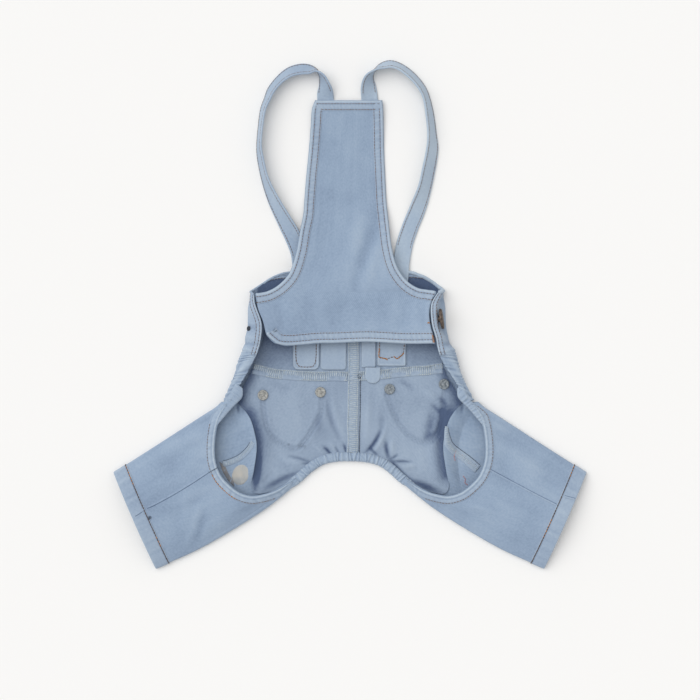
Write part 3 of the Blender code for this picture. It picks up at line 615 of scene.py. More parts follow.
# The fold that stands up along the leg's inner seam: share of the seam, height
FOLD_HEIGHT = 6.5
INNER_FOLD = (
    (0.0, 1.0), (0.14, 4.5), (0.28, FOLD_HEIGHT), (0.5, FOLD_HEIGHT), (0.68, 0.0), (1.0, 0.0),
)
# The tone of the seat's creases is painted: painted shade in their troughs and in the shadows beside the
# left leg's standing fold, along the bands of the leg openings and over the right of the seat, and painted
# highlight on their ridges
SEAT_CREASES = (
    # start x and y, end x and y, bow, width, depth, tone
    (82.0, -68.0, 66.0, -110.0, 0.05, 7.0, -0.5, -0.42),
    (76.4, -80.0, 79.4, -85.0, 0.10, 1.8, -0.6, -0.80),
    (62.0, -107.4, 73.0, -100.0, 0.05, 2.2, -0.5, -0.45),
    (-77.0, -118.0, -81.6, -152.0, 0.02, 2.6, -0.3, -1.3),
    (-22.9, -112.5, -15.8, -120.4, 0.06, 1.3, -1.0, -1.05),
    (-19.0, -108.0, -10.0, -119.5, 0.06, 1.5, 1.0, 0.20),
    (-13.2, -112.0, -9.2, -120.2, 0.05, 1.1, -0.8, -0.60),
    (-6.2, -109.5, -2.6, -120.2, 0.06, 1.3, -1.0, -0.95),
    (-31.5, -110.5, -21.5, -122.0, 0.04, 1.6, 0.9, 0.16),
    (-55.2, -120.5, -31.0, -127.2, 0.04, 1.1, -0.8, -0.55),
    (-42.0, -127.4, -30.0, -128.0, 0.05, 1.2, -0.6, -0.45),
    (-60.0, -124.0, -36.0, -131.0, 0.06, 3.4, 0.8, 0.12),
    (-74.0, -149.6, -41.0, -134.0, 0.04, 2.4, -0.4, -0.80),
    (-19.5, -70.0, -6.8, -109.0, -0.07, 2.0, -0.9, -0.34),
    (-14.5, -66.0, -3.0, -106.0, -0.07, 3.0, 1.0, 0.16),
    (-28.0, -84.0, -20.0, -106.0, -0.05, 4.0, -0.5, -0.16),
    (14.6, -62.0, 13.0, -112.0, 0.03, 3.0, 0.8, 0.14),
    (27.0, -86.0, 25.5, -99.0, 0.05, 2.6, -0.6, -0.22),
    (26.4, -97.4, 12.6, -118.4, 0.07, 1.6, -1.5, -1.15),
    (31.0, -94.0, 19.0, -119.0, 0.06, 2.2, 1.3, 0.22),
    (16.6, -112.6, 24.0, -120.0, -0.06, 1.2, -0.9, -0.80),
    (30.6, -107.0, 33.6, -123.4, -0.06, 1.7, -1.3, -1.05),
    (36.5, -106.0, 36.5, -120.0, -0.06, 2.2, 1.0, 0.18),
    (32.6, -121.6, 54.0, -143.4, -0.05, 1.8, -1.2, -1.10),
    (35.6, -125.4, 53.0, -125.6, 0.02, 1.1, -0.9, -0.80),
    (41.0, -118.8, 34.4, -123.2, 0.04, 1.1, -0.8, -0.75),
    (56.0, -128.0, 43.0, -130.0, 0.04, 2.4, 0.8, 0.16),
    (50.0, -141.0, 78.0, -153.0, 0.02, 3.0, -0.5, -1.00),
    (69.0, -82.0, 64.0, -108.0, 0.05, 3.4, -0.7, -0.42),
    (73.0, -88.0, 66.5, -106.0, 0.05, 1.8, 0.8, 0.20),
    (74.0, -70.0, 82.0, -80.0, 0.10, 2.0, -0.8, -0.50),
    (68.0, -76.0, 78.0, -86.0, 0.05, 1.6, -0.9, -0.55),
    (62.0, -66.0, 74.0, -72.0, 0.05, 2.2, 0.8, 0.14),
    (40.0, -56.0, 54.0, -66.0, 0.10, 2.6, -0.7, -0.36),
    (-69.0, -58.0, -50.0, -66.0, 0.05, 4.0, -0.5, -0.16),
    (-48.0, -72.0, -46.0, -100.0, 0.02, 8.0, 0.6, 0.10),
    (-66.0, -118.0, -50.0, -138.0, 0.05, 4.0, -0.5, -0.10),
    (60.0, -112.0, 66.0, -140.0, -0.06, 4.0, 0.6, 0.10),
)
# Stitching of the outside pockets, and how its dent and the ridge beside it show inside
POCKET = {
    -1: ((-73.9, -73.0), (-72.6, -86.0), (-69.6, -98.0), (-63.0, -106.8), (-54.7, -112.0),
         (-45.6, -114.4), (-37.4, -106.8), (-30.6, -96.0), (-24.4, -84.2), (-24.0, -71.0)),
    1: ((31.2, -68.5), (37.3, -84.2), (44.2, -96.3), (52.9, -105.0), (63.3, -109.4),
        (71.4, -105.4), (76.4, -96.3), (78.6, -84.2), (80.4, -66.0)),
}
SEAT_RISE = 1.2
POCKET_OFF = 1.2
POCKET_DENT = -0.55
POCKET_RIDGE = 0.35
RIDGE_OFF = 3.4
# Painted shade along the dent of the pocket stitching
POCKET_DENT_SHADE = -0.17
# Beside the leg's standing fold the seat rises, billows a little way off, and is in shade
SEAM_RISE = 0.3
BILLOW = 1.6
BILLOW_OFF = 8.0
FOLD_SHADE = -1.0
# The sides shade the panels beside them, and the bib shades the neck and its two corners
WALL_SHADE = -0.85
NECK_SHADE = -0.62
CORNER_SHADE = -0.40


def patch(top, bottom, left, right):
    """A grid filling four borders that meet at the corners."""
    v = np.linspace(0, 1, len(left))[:, None, None]
    u = np.linspace(0, 1, len(top))[None, :, None]
    across = left[:, None] * (1 - u) + right[:, None] * u
    down = top[None] * (1 - v) + bottom[None] * v
    corners = (top[0] * (1 - u) + top[-1] * u) * (1 - v) + (bottom[0] * (1 - u) + bottom[-1] * u) * v
    return across + down - corners


def with_height(grid, height):
    """A plan grid with heights."""
    return np.concatenate([grid, height[..., None]], axis=2)


def side_floor_line(side, first, last, count):
    """Where the turned-up side meets the floor panels, tucked a little under it."""
    line = at_rows(SIDE_TABLE[side], np.linspace(first, last, count))[:, 2:4]
    return line + np.array([side * 1.0, 0.0])


def seam_line(side, count):
    """The seam between a leg and the seat."""
    return even(SEAT_SEAM, count) * np.array([side, 1.0])


def arch_border(side, corner, count):
    """The seat's lower border: from the leg's corner along the gathered crotch."""
    upper = sideways(even(ARCH, 41), CASING_HALF - 1.0)
    half = upper[:20] if side < 0 else upper[:20:-1]
    middle = [(BACK_AXIS, upper[20][1])]
    return even(np.concatenate([[corner], half, middle]), count)


SEAT_ACROSS = 96
SEAT_SEAM_ROWS = 70
SEAT_SIDE_ROWS = 16
BACK_ROWS = 50
BACK_ACROSS = 60


def seat_grid(side):
    """The seat's half, with the height of its edge along the leg's standing fold."""
    floor_edge = side_floor_line(side, WAIST_ROW, SIDE_END, SEAT_SIDE_ROWS)
    seam = seam_line(side, SEAT_SEAM_ROWS)
    left = np.concatenate([floor_edge[:-1], seam])
    top = even(np.concatenate([[left[0]], WAIST[side]]), SEAT_ACROSS)
    bottom = arch_border(side, left[-1], SEAT_ACROSS)
    right = top[-1] + (bottom[-1] - top[-1]) * np.linspace(0, 1, len(left))[:, None]
    plan = patch(top, bottom, left, right)
    flat = plan.reshape(-1, 2)
    gap, place = nearest_on(flat, seam)
    length = along(seam)
    fold = eased(INNER_FOLD, np.interp(place, np.arange(len(seam)), length) / length[-1])
    beside_side, _ = nearest_on(flat, floor_edge)
    beside_pocket, _ = nearest_on(flat, even(POCKET[side], 60))
    height, tone = crease_relief(flat, SEAT_CREASES)
    height += POCKET_DENT * soft(beside_pocket, 1.1, POCKET_OFF)
    height += POCKET_RIDGE * soft(beside_pocket, 1.4, RIDGE_OFF)
    height += SEAM_RISE * fold * soft(gap, 2.0) + BILLOW * soft(gap, 5.0, BILLOW_OFF) * fold / FOLD_HEIGHT
    tone += POCKET_DENT_SHADE * soft(beside_pocket, 1.3, POCKET_OFF)
    tone += FOLD_SHADE * soft(gap, 7.0) * np.clip(fold / 4.0, 0, 1) + WALL_SHADE * soft(beside_side, 6.0)
    shape = plan.shape[:2]
    return with_height(plan, (CLOTH + SEAT_RISE + height).reshape(shape)), tone.reshape(shape)


def back_grid(side):
    """Half of the upper back, from the neck edge to the waist seam."""
    left = side_floor_line(side, 0.0, WAIST_ROW, BACK_ROWS)
    top = even(np.concatenate([[left[0]], BACK_TOP[side]]), BACK_ACROSS)
    bottom = even(np.concatenate([[left[-1]], WAIST[side]]), BACK_ACROSS)
    right = top[-1] + (bottom[-1] - top[-1]) * np.linspace(0, 1, len(left))[:, None]
    plan = patch(top, bottom, left, right)
    x, y = plan[..., 0], plan[..., 1]
    corner = np.clip((np.abs(x - BACK_AXIS) - 38.0) / 14.0, 0, 1) * np.clip((y + 56.0) / 18.0, 0, 1)
    tone = NECK_SHADE * np.clip((y + 34.0) / 24.0, 0, 1) + CORNER_SHADE * corner
    return with_height(plan, np.full(plan.shape[:2], CLOTH)), tone


for side, word in BOTH_SIDES:
    grid, tone = seat_grid(side)
    seat = slab_piece("seat_cloth_" + word, grid, tone, inner_denim, outer_denim)
    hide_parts("seat_" + word)
    grid, tone = back_grid(side)
    back = slab_piece("back_cloth_" + word, grid, tone, inner_denim, outer_denim)
    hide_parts("upper_back_" + word)

# %% [markdown]
# ## The legs
# Each leg is one tube, flat on the floor underneath and crowned on top, cut open at the
# belly. Rings round the leg are joined from the hem to the belly opening. The last ring
# follows the round edge of the opening on top and the seat's seam underneath, where the
# cloth stands up in a soft fold.

# %% Leg rings
LEG = (
    # side fold x and y, crotch fold x and y, crown, height of the side fold and of the
    # crotch fold, how far the row bends to the opening
    (200.6, -134.7, 164.9, -215.9, 13.0, 5.0, 5.0, 0.0),
    (190.6, -128.3, 153.9, -211.3, 13.0, 5.0, 5.0, 0.0),
    (165.0, -112.0, 128.0, -199.5, 13.0, 5.0, 5.0, 0.13),
    (140.0, -95.8, 99.0, -183.0, 13.0, 5.5, 5.5, 0.36),
    (122.0, -84.2, 72.5, -166.0, 13.0, 7.0, 6.0, 0.66),
    (114.2, -79.2, 56.3, -153.5, 13.0, 9.0, 6.0, 0.86),
    (108.8, -74.4, 43.6, -142.8, 12.5, 10.8, 6.0, 1.0),
)
LEG_END = 6.0
LEG_ROWS = 96
INNER_FOLD_START = 4.7
OPENING_EDGE = (
    (102.9, -75.7), (110.5, -88.4), (113.9, -105.4), (113.9, -122.4), (109.7, -135.2),
    (102.9, -143.7), (93.5, -150.9), (83.3, -153.9), (73.1, -152.6), (63.8, -149.6),
    (51.9, -143.2), (45.9, -139.4),
)
LEG_TOP_COUNT = 96
LEG_FLOOR_COUNT = 64
FOLD_STEPS = 6
# The tone of the leg creases is painted shade in a trough and painted highlight on a ridge
LEG_CREASES_LEFT = (
    # start x and y, end x and y, bow, width, depth, tone
    (-118.0, -96.0, -150.0, -112.0, 0.06, 5.0, 0.8, 0.09),
    (-122.0, -108.0, -164.0, -136.0, -0.04, 6.0, -0.7, -0.09),
    (-128.0, -128.0, -176.0, -150.0, 0.04, 6.0, 0.6, 0.07),
    (-116.0, -150.0, -150.0, -178.0, -0.05, 5.0, -0.7, -0.08),
    (-92.0, -162.0, -136.0, -190.0, 0.04, 6.0, 0.7, 0.08),
    (-74.0, -158.0, -104.0, -172.0, 0.03, 3.5, -0.5, -0.07),
    (-112.0, -84.0, -128.0, -92.0, 0.10, 2.6, -0.7, -0.12),
    (-118.0, -124.0, -132.0, -122.0, 0.10, 2.4, -0.5, -0.08),
    (-140.0, -150.0, -142.0, -182.0, 0.10, 5.0, 0.5, 0.06),
    (-160.0, -118.0, -150.0, -150.0, 0.08, 6.0, -0.5, -0.06),
    (-122.0, -162.0, -133.0, -199.0, 0.03, 3.4, -0.5, -0.26),
    (-127.0, -162.0, -140.0, -198.0, 0.03, 3.0, 0.5, 0.10),
)
# The back side bunches beside the elastic, alike in both legs. Their tone is mostly painted
# shade, under the end of the casing that lies over them.
LEG_FLOOR_CREASES = (
    (90.6, -73.0, 89.4, -86.0, 0.04, 1.5, 0.9, -0.55),
    (94.8, -75.0, 94.0, -87.0, 0.04, 1.4, -0.4, -0.95),
    (98.6, -78.0, 97.4, -90.0, 0.04, 1.6, 0.9, 0.20),
    (102.0, -81.0, 101.0, -92.0, 0.04, 1.5, -0.4, -0.80),
)
LEG_CREASES_RIGHT = (
    (120.0, -98.0, 158.0, -112.0, -0.06, 5.0, -0.7, -0.10),
    (122.0, -112.0, 168.0, -142.0, 0.05, 6.0, 0.8, 0.08),
    (126.0, -136.0, 170.0, -168.0, -0.04, 6.0, -0.7, -0.09),
    (112.0, -150.0, 152.0, -184.0, 0.05, 5.0, 0.7, 0.08),
    (84.0, -158.0, 128.0, -184.0, -0.04, 5.0, -0.5, -0.07),
    (112.0, -86.0, 126.0, -88.0, -0.12, 2.6, -0.6, -0.10),
    (122.0, -94.0, 134.0, -102.0, 0.10, 2.6, 0.6, 0.08),
    (148.0, -120.0, 156.0, -158.0, 0.08, 7.0, 0.5, 0.05),
    (134.0, -112.0, 132.0, -150.0, -0.08, 6.0, -0.6, -0.09),
    (100.0, -164.0, 118.0, -168.0, 0.10, 3.0, 0.5, 0.06),
)
LEG_CREASES = {-1: LEG_CREASES_LEFT, 1: LEG_CREASES_RIGHT}
LEG_CREASE_GAIN = 1.1


def leg_line(t, shares, body):
    """The points between the two folds of a leg at row t, bent towards the body's line."""
    row, last = at_rows(LEG, [t])[0], at_rows(LEG, [LEG_END])[0]

    def straight(sizes):
        a, b = sizes[0:2], sizes[2:4]
        length = np.linalg.norm(b - a)
        where = (sizes[5] / 2 + shares * (length - sizes[5] / 2 - sizes[6] / 2)) / length
        return a + (b - a) * where[:, None]

    return straight(row) + row[7] * (body - straight(last))


def leg_top(t):
    """The belly side of a leg at row t, from the side fold to the crotch fold."""
    row = at_rows(LEG, [t])[0]
    shares = np.linspace(0, 1, LEG_TOP_COUNT)
    plan = leg_line(t, shares, even(OPENING_EDGE, LEG_TOP_COUNT))
    base = row[5] + (row[6] - row[5]) * shares
    rise = (row[4] - (row[5] + row[6]) / 2) * np.sin(math.pi * shares) ** 0.8
    return np.column_stack([plan, base + rise])


def leg_floor(t):
    """The back side of a leg at row t, up to the standing fold along its inner seam."""
    shares = np.linspace(0, 1, LEG_FLOOR_COUNT)
    plan = leg_line(t, shares, even(SEAT_SEAM, LEG_FLOOR_COUNT))
    rise = max(0.0, (t - INNER_FOLD_START) / (LEG_END - INNER_FOLD_START))
    return np.column_stack([plan, eased(INNER_FOLD, shares) * math.sin(rise * math.pi / 2) ** 1.2])


def leg_fold(fold, low, high):
    """A fold from a floor point round to a point above it, without its two ends."""
    angle = math.pi / 2 * np.arange(1 - FOLD_STEPS, FOLD_STEPS) / FOLD_STEPS
    ends = np.where((angle < 0)[:, None], low[None, :2], high[None, :2])
    plan = fold[None, :] + (ends - fold[None, :]) * (1 - np.cos(angle))[:, None]
    rise = np.where(angle < 0, low[2] + (high[2] / 2 - low[2]) * (1 + np.sin(angle)),
                    high[2] / 2 * (1 + np.sin(angle)))
    return np.column_stack([plan, rise])


def leg_ring(side, t):
    """One closed ring round a leg: floor side, crotch fold, belly side, side fold."""
    row = at_rows(LEG, [t])[0]
    low, high = leg_floor(t), leg_top(t)
    ring = np.concatenate([low, leg_fold(row[2:4], low[-1], high[-1]), high[::-1],
                           leg_fold(row[0:2], low[0], high[0])[::-1]])
    return ring * np.array([side, 1.0, 1.0])


for side, word in BOTH_SIDES:
    leg_rows = np.linspace(0.0, LEG_END, LEG_ROWS)
    rings = np.stack([leg_ring(side, t) for t in leg_rows])
    flat = rings.reshape(-1, 3)
    lift, tone = crease_relief(flat, LEG_CREASES[side])
    upper = np.clip((flat[:, 2] - 5.0) / 3.0, 0, 1)
    row_number = np.repeat(leg_rows, rings.shape[1])
    inside = np.clip(1.4 - flat[:, 2] / 4.0, 0, 1) * np.clip((row_number - 5.2) / 0.4, 0, 1)
    bunched, bunched_tone = crease_relief(flat * np.array([side, 1.0, 1.0]), LEG_FLOOR_CREASES)
    flat[:, 2] += lift * upper + bunched * inside
    tone = LEG_CREASE_GAIN * tone * upper + bunched_tone * inside
    leg = sheet_piece("leg_cloth_" + word, rings, "out", outer_denim, closed=True, tone=tone)
    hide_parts("leg_" + word)

# %% [markdown]
# ## The sides
# At both sides the back folds up and over, and its front edge carries the button placket.
# The button's weight pulls the right side up straight over a low bulge. Lower down the edge
# is pulled in by elastic, so the cloth bunches into small uneven pleats that run across the
# casing.

# %% Turned-up sides with gathers
SIDE_STEPS = 18
# The tone of the side's creases and pleats is painted shade in their valleys and painted highlight on their
# tops
SIDE_CREASES = (
    # row along the side, width in rows, depth, tone
    (0.7, 0.16, -0.5, -0.30), (1.3, 0.22, 0.4, 0.10), (2.2, 0.20, -0.6, -0.24),
    (2.9, 0.18, 0.5, 0.12), (3.4, 0.16, -0.7, -0.30), (3.9, 0.14, 0.6, 0.15),
)
SIDE_ROWS = 230
PLEAT_ROWS = 0.30
PLEAT_SLANT = 0.55
PLEAT_HEIGHT = 0.60
PLEAT_LIGHT_AND_SHADE = 0.27
LONG_FOLDS = 5.5


def side_grid(side, rows):
    """Rows of the turned-up side: from the floor, round the fold, to the front edge."""
    values = at_rows(SIDE_TABLE[side], rows)
    angle = math.pi / 2 * np.linspace(-1, 1, 2 * SIDE_STEPS + 1)
    share = (1 - np.cos(angle))[None, :, None]
    fold = values[:, None, 0:2]
    ends = np.where((angle < 0)[None, :, None], values[:, None, 2:4], values[:, None, 4:6])
    plan = fold + (ends - fold) * share
    height = values[:, 6:7] / 2 * (1 + np.sin(angle))[None, :]
    wall = at_rows(STEEP_WALL, np.linspace(0, len(STEEP_WALL) - 1, len(angle)))[None]
    wall_plan = fold + (values[:, None, 2:4] - fold) * wall[..., 0:1]
    wall_plan = wall_plan + (values[:, None, 4:6] - fold) * wall[..., 1:2]
    wall_height = np.maximum(0, wall[..., 2]) * values[:, 6:7]
    steep = np.clip(values[:, 7:8], 0, 1)
    plan = plan + (wall_plan - plan) * steep[..., None]
    height = height + (wall_height - height) * steep
    return with_height(plan, height), angle


side_grids = {}
for side, word in BOTH_SIDES:
    rows = np.linspace(0.0, SIDE_END, SIDE_ROWS)
    grid, angle = side_grid(side, rows)
    normal = normals_of(grid)
    outward = np.sign((normal[..., 0] * side).mean())
    upper = np.clip((angle + 0.9) / 1.2, 0, 1)[None, :]
    gathered = np.clip((rows - PLACKET_END + 0.3) / 0.6, 0, 1)[:, None]
    down, across = rows[:, None], angle[None, :]
    phase = down / PLEAT_ROWS + 0.6 * waves(rows, 1.0, 1.3, 11 + side)[:, None]
    slant = phase + PLEAT_SLANT * across * (1 + 0.5 * waves(rows, 1.0, 2.1, 15 + side)[:, None])
    pleats = np.sin(2 * math.pi * slant) * (0.55 + 0.45 * np.sin(3.1 * across + 5.0 * down))
    pleats = pleats + 0.7 * np.sin(LONG_FOLDS * across + 1.7 * down + side)
    height = PLEAT_HEIGHT * pleats * gathered * upper
    tone = PLEAT_LIGHT_AND_SHADE * pleats * gathered * upper
    for row, width, depth, shade in SIDE_CREASES:
        strength = soft(down - row - 0.12 * across, width) * upper
        height = height + depth * strength
        tone = tone + shade * strength
    grid = grid + normal * outward * height[..., None]
    side_grids[side] = grid
    # Painted shade on the side's floor half, which lies in shade beside the back, and more at its top under
    # the bib
    tone = tone + np.where(across < -0.9, -0.35, 0.0)
    tone = tone + WALL_SHADE * np.clip(1.6 - down, 0, 1) * np.clip(-across - 0.1, 0, 1)
    side_cloth = sheet_piece("side_cloth_" + word, grid, "out", gathered_denim, tone=tone)
    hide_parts("side_" + word, "side_casing_" + word)

# %% [markdown]
# ## The crotch casing
# A narrow roll of cloth with elastic inside runs over the arch between the legs. The elastic
# pulls it into tight pleats, deep and pale in turn, and none is quite like the next one.

# %% Gathered roll over the arch
CASING_PLEAT = 2.7
# Where the casing's ends run on under the bands of the leg openings
CASING_START = ((-60.5, -151.6), (-52.6, -146.4))
CASING_FINISH = ((52.0, -145.0), (60.0, -150.8))
CASING_STEPS = 420
CASING_SECTION = (
    # share of the half width, height, how far the pleats move it
    (-0.85, 0.0, 0.0), (0.85, 0.0, 0.0), (1.0, 1.0, 0.3), (1.04, 2.6, 0.7), (0.85, 4.2, 1.0),
    (0.45, 5.0, 1.0), (0.15, 4.9, 0.8), (-0.15, 4.9, 0.8), (-0.5, 5.0, 1.0), (-0.85, 4.2, 1.0),
    (-1.04, 2.6, 0.7), (-1.0, 1.0, 0.3),
)


def capped_mesh(name, rows, tone=None):
    """A closed tube through rings of points, with a cap at both ends."""
    mesh = cloth_mesh(name, rows, "out", closed=True, tone=tone)
    shape = bmesh.new()
    shape.from_mesh(mesh)
    bmesh.ops.holes_fill(shape, edges=[e for e in shape.edges if e.is_boundary], sides=0)
    bmesh.ops.recalc_face_normals(shape, faces=shape.faces)
    shape.to_mesh(mesh)
    shape.free()
    mesh.shade_smooth()
    return mesh


def tube_piece(name, rows, material, tone=None):
    """A strap, roll or strip of cloth, as a closed tube."""
    panels[name] = (np.asarray(rows, dtype=float), "strip")
    return add_piece(name, capped_mesh(name, rows, tone), material)


centre = even(CASING_START + ARCH + CASING_FINISH, CASING_STEPS)
side_step = np.gradient(centre, axis=0)
side_step /= np.linalg.norm(side_step, axis=1)[:, None]
left_of = np.column_stack([-side_step[:, 1], side_step[:, 0]])
run = along(centre)
pleat = np.sin(2 * math.pi * run / CASING_PLEAT + waves(run, 2.4, 13.0, 5))
pleat = pleat * (0.65 + waves(run, 0.45, 9.0, 8)) + waves(run, 0.55, 5.0, 6)
from_end = np.minimum(run, run[-1] - run)
ends = np.clip(from_end / 7.0, 0.15, 1)
narrow = np.clip(0.35 + from_end / 26.0, 0.35, 1)
rings = np.zeros((CASING_STEPS, len(CASING_SECTION), 3))
casing_tone = np.zeros(rings.shape[:2])
# The tone follows the pleats, painted highlight on their tops and painted shade in their valleys, over a
# little random variation and a paler cast
for k, (across, height, share) in enumerate(CASING_SECTION):
    swell = 0.55 * pleat * share * ends
    slant = waves(run, 1.1, 10.0, 9) * across
    rings[:, k, :2] = centre + left_of * (across * narrow * (CASING_HALF + 0.35 * swell))[:, None]
    rings[:, k, :2] += side_step * (slant * ends)[:, None]
    rings[:, k, 2] = height + swell
    casing_tone[:, k] = 0.20 * pleat * share * ends + waves(run + 3 * across, 0.10, 4.0, 10) + 0.10
crotch = tube_piece("crotch_gathers", rings, gathered_denim, tone=casing_tone)
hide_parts("crotch_casing")

# %% [markdown]
# ## The straps
# Each strap is a folded band of denim, 14 mm wide. It starts flat under the bib's top edge,
# turns over by half a twist, stands nearly on its edge round the loop, and lies down flat
# again inside the back. The lean of each row of the table says how far it is turned.

# %% Straps
STRAP_WIDTH = 14.0
STRAP_THICK = 2.0
STRAP_LEFT = (
    # x and y, lean in degrees, lift
    (-20.8, 170.0, 0, 0.0), (-20.8, 183.2, 0, 0.0), (-21.7, 193.8, 48, 0.0),
    (-24.2, 201.5, 76, 0.0), (-28.9, 206.1, 102, 0.0), (-34.4, 207.2, 128, 0.0),
    (-42.0, 207.4, 134, 0.0), (-51.0, 204.9, 130, 0.0), (-59.0, 199.0, 123, 0.0),
    (-66.3, 190.4, 119, 0.0), (-70.1, 181.9, 113, 0.0), (-73.5, 173.4, 109, 0.0),
    (-75.6, 160.0, 106, 0.0), (-77.0, 143.0, 106, 0.0), (-75.7, 130.9, 111, 0.0),
    (-71.8, 113.9, 115, 0.0), (-65.0, 96.9, 132, 0.0), (-56.1, 79.9, 150, 0.0),
    (-49.2, 67.0, 170, 0.0), (-44.0, 54.0, 180, 0.0), (-42.0, 42.0, 180, 1.2),
    (-41.0, 28.0, 180, 1.8), (-39.0, -17.0, 180, 1.8),
)
STRAP_RIGHT = (
    (16.6, 170.0, 0, 0.0), (16.6, 182.8, 0, 0.0), (15.7, 192.0, 24, 0.0),
    (16.2, 199.0, 52, 0.0), (19.1, 204.4, 84, 0.0), (23.8, 208.4, 104, 0.0),
    (29.0, 210.6, 118, 0.0), (35.0, 211.6, 120, 0.0), (42.5, 209.2, 118, 0.0),
    (49.4, 204.4, 119, 0.0), (55.7, 198.4, 118, 0.0), (61.6, 190.4, 117, 0.0),
    (65.0, 181.9, 115, 0.0), (67.6, 169.0, 120, 0.0), (69.5, 152.0, 124, 0.0),
    (69.7, 139.4, 137, 0.0), (66.7, 122.4, 142, 0.0), (62.9, 105.4, 146, 0.0),
    (57.0, 88.4, 170, 0.0), (51.5, 74.8, 180, 0.0), (46.6, 60.0, 180, 0.0),
    (43.6, 44.0, 180, 0.8), (42.6, 32.0, 180, 1.8), (38.0, -17.0, 180, 1.8),
)
STRAP_TABLE = {-1: STRAP_LEFT, 1: STRAP_RIGHT}
# Painted light: each strap is made paler, the right one more, as its face is lit
STRAP_PAINTED_LIGHT = {-1: 0.30, 1: 0.54}
STRAP_STEPS = 320
STRAP_ACROSS = (-1.0, -0.93, -0.80, -0.72, -0.5, -0.2, 0.2, 0.5, 0.72, 0.80, 0.93, 1.0)
STRAP_PROFILE = (0.45, 0.85, 0.95, 0.70, 0.85, 0.9, 0.9, 0.85, 0.70, 0.95, 0.85, 0.45)


def strap_frame(table, side, count):
    """Middle line of a strap with the directions across its face and out of it."""
    path = at_rows(table, np.linspace(0, len(table) - 1, count))
    step = np.gradient(path[:, :2], axis=0)
    course = np.arctan2(step[:, 1], step[:, 0]) - side * math.pi / 2
    tilt = np.radians(np.clip(path[:, 2], 0, 180))
    middle = STRAP_WIDTH / 2 * np.sin(tilt) + STRAP_THICK / 2 * np.abs(np.cos(tilt))
    middle += np.maximum(0, path[:, 3])
    flat = np.column_stack([np.cos(course), np.sin(course), np.zeros(count)])
    up = np.array([0.0, 0.0, 1.0])
    across = flat * np.cos(tilt)[:, None] - up * np.sin(tilt)[:, None]
    face = flat * np.sin(tilt)[:, None] + up * np.cos(tilt)[:, None]
    centre = np.column_stack([path[:, :2], middle])
    return centre, across, face


def strap_rings(table, side, seed):
    """Rings round a strap, with a dent along each stitched edge and small puckers."""
    centre, across, face = strap_frame(table, side, STRAP_STEPS)
    run = along(centre)
    pucker = waves(run, 0.06, 6.0, seed)
    ring = []
    for sign in (1, -1):
        for a, thick in list(zip(STRAP_ACROSS, STRAP_PROFILE))[::sign]:
            out = sign * (STRAP_THICK / 2 * thick + (pucker if 0.6 < abs(a) < 0.9 else 0.0))
            ring.append(centre + across * (a * STRAP_WIDTH / 2) + face * np.reshape(out, (-1, 1)))
    return np.stack(ring, axis=1), run


for side, word in BOTH_SIDES:
    rings, run = strap_rings(STRAP_TABLE[side], side, 31 + side)
    edge = np.abs(np.array(STRAP_ACROSS + STRAP_ACROSS[::-1]))
    # Paler edges, partly a worn fold and partly painted highlight, and a faint painted shade in the dents
    # of the stitched rows
    tone = np.where(edge > 0.9, 0.08, np.where(edge > 0.75, -0.02, 0.0))[None, :]
    tone = tone + waves(run, 0.05, 40.0, 41 + side)[:, None] + STRAP_PAINTED_LIGHT[side]
    strap = tube_piece("strap_cloth_" + word, rings, outer_denim, tone=tone)
    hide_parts("strap_" + word)

# %% [markdown]
# ## Trims that lie on the cloth
# Hems, bindings, seam allowances and tabs lie on a panel and follow it. Each is drawn as a
# line in the plan; points across the line are dropped on the finished panel from above, and
# the strip is built over them: a turned edge is thick and pale at its fold, dips at each
# row of stitches, and is puckered by the thread between them.

# %% Surfaces to lie on
DROP_FROM = 0.08
THREAD_RISE = 0.12
LOWEST_THREAD = 0.75
FLOOR_GAP = 0.02
PUCKER_TONE = 0.10
ROLL_STEPS = 10
BORDER_THICK = 0.9
# Lines for the stitches, gathered from piece to piece and sewn further down
brown_rows, orange_rows = [], []


def surface_of(*pieces):
    """A search tree over the finished surfaces of pieces, in metres."""
    graph = bpy.context.evaluated_depsgraph_get()
    corners, faces = [], []
    for piece in pieces:
        shown = piece.evaluated_get(graph)
        mesh = shown.to_mesh()
        first = len(corners)
        corners.extend(piece.matrix_world @ v.co for v in mesh.vertices)
        faces.extend([first + k for k in face.vertices] for face in mesh.polygons)
        shown.to_mesh_clear()
    return BVHTree.FromPolygons(corners, faces)


def dropped(tree, plan):
    """Points of a plan, in millimetres, dropped on a surface from above."""
    points = []
    for x, y in np.asarray(plan, dtype=float)[:, :2]:
        hit = tree.ray_cast(Vector((x * MM, y * MM, DROP_FROM)), Vector((0, 0, -1)))[0]
        if hit is None:
            hit = tree.find_nearest(Vector((x * MM, y * MM, 0.012)))[0]
        points.append((x, y, hit.z / MM))
    return np.array(points)


def smoothed(values, width):
    """Values along a line with small jumps evened out."""
    kernel = np.hanning(2 * width + 3)
    kernel /= kernel.sum()
    padded = np.pad(values, width + 1, mode="edge")
    return np.convolve(padded, kernel, mode="valid")


def fine_line(points, step=0.8):
    """A smooth line through points with a point about every step."""
    count = max(8, int(along(even(points, 60))[-1] / step))
    return even(points, count)


# Rows of TURNED that hold its two rows of stitches
NEAR_STITCH, FAR_STITCH = 3, 6
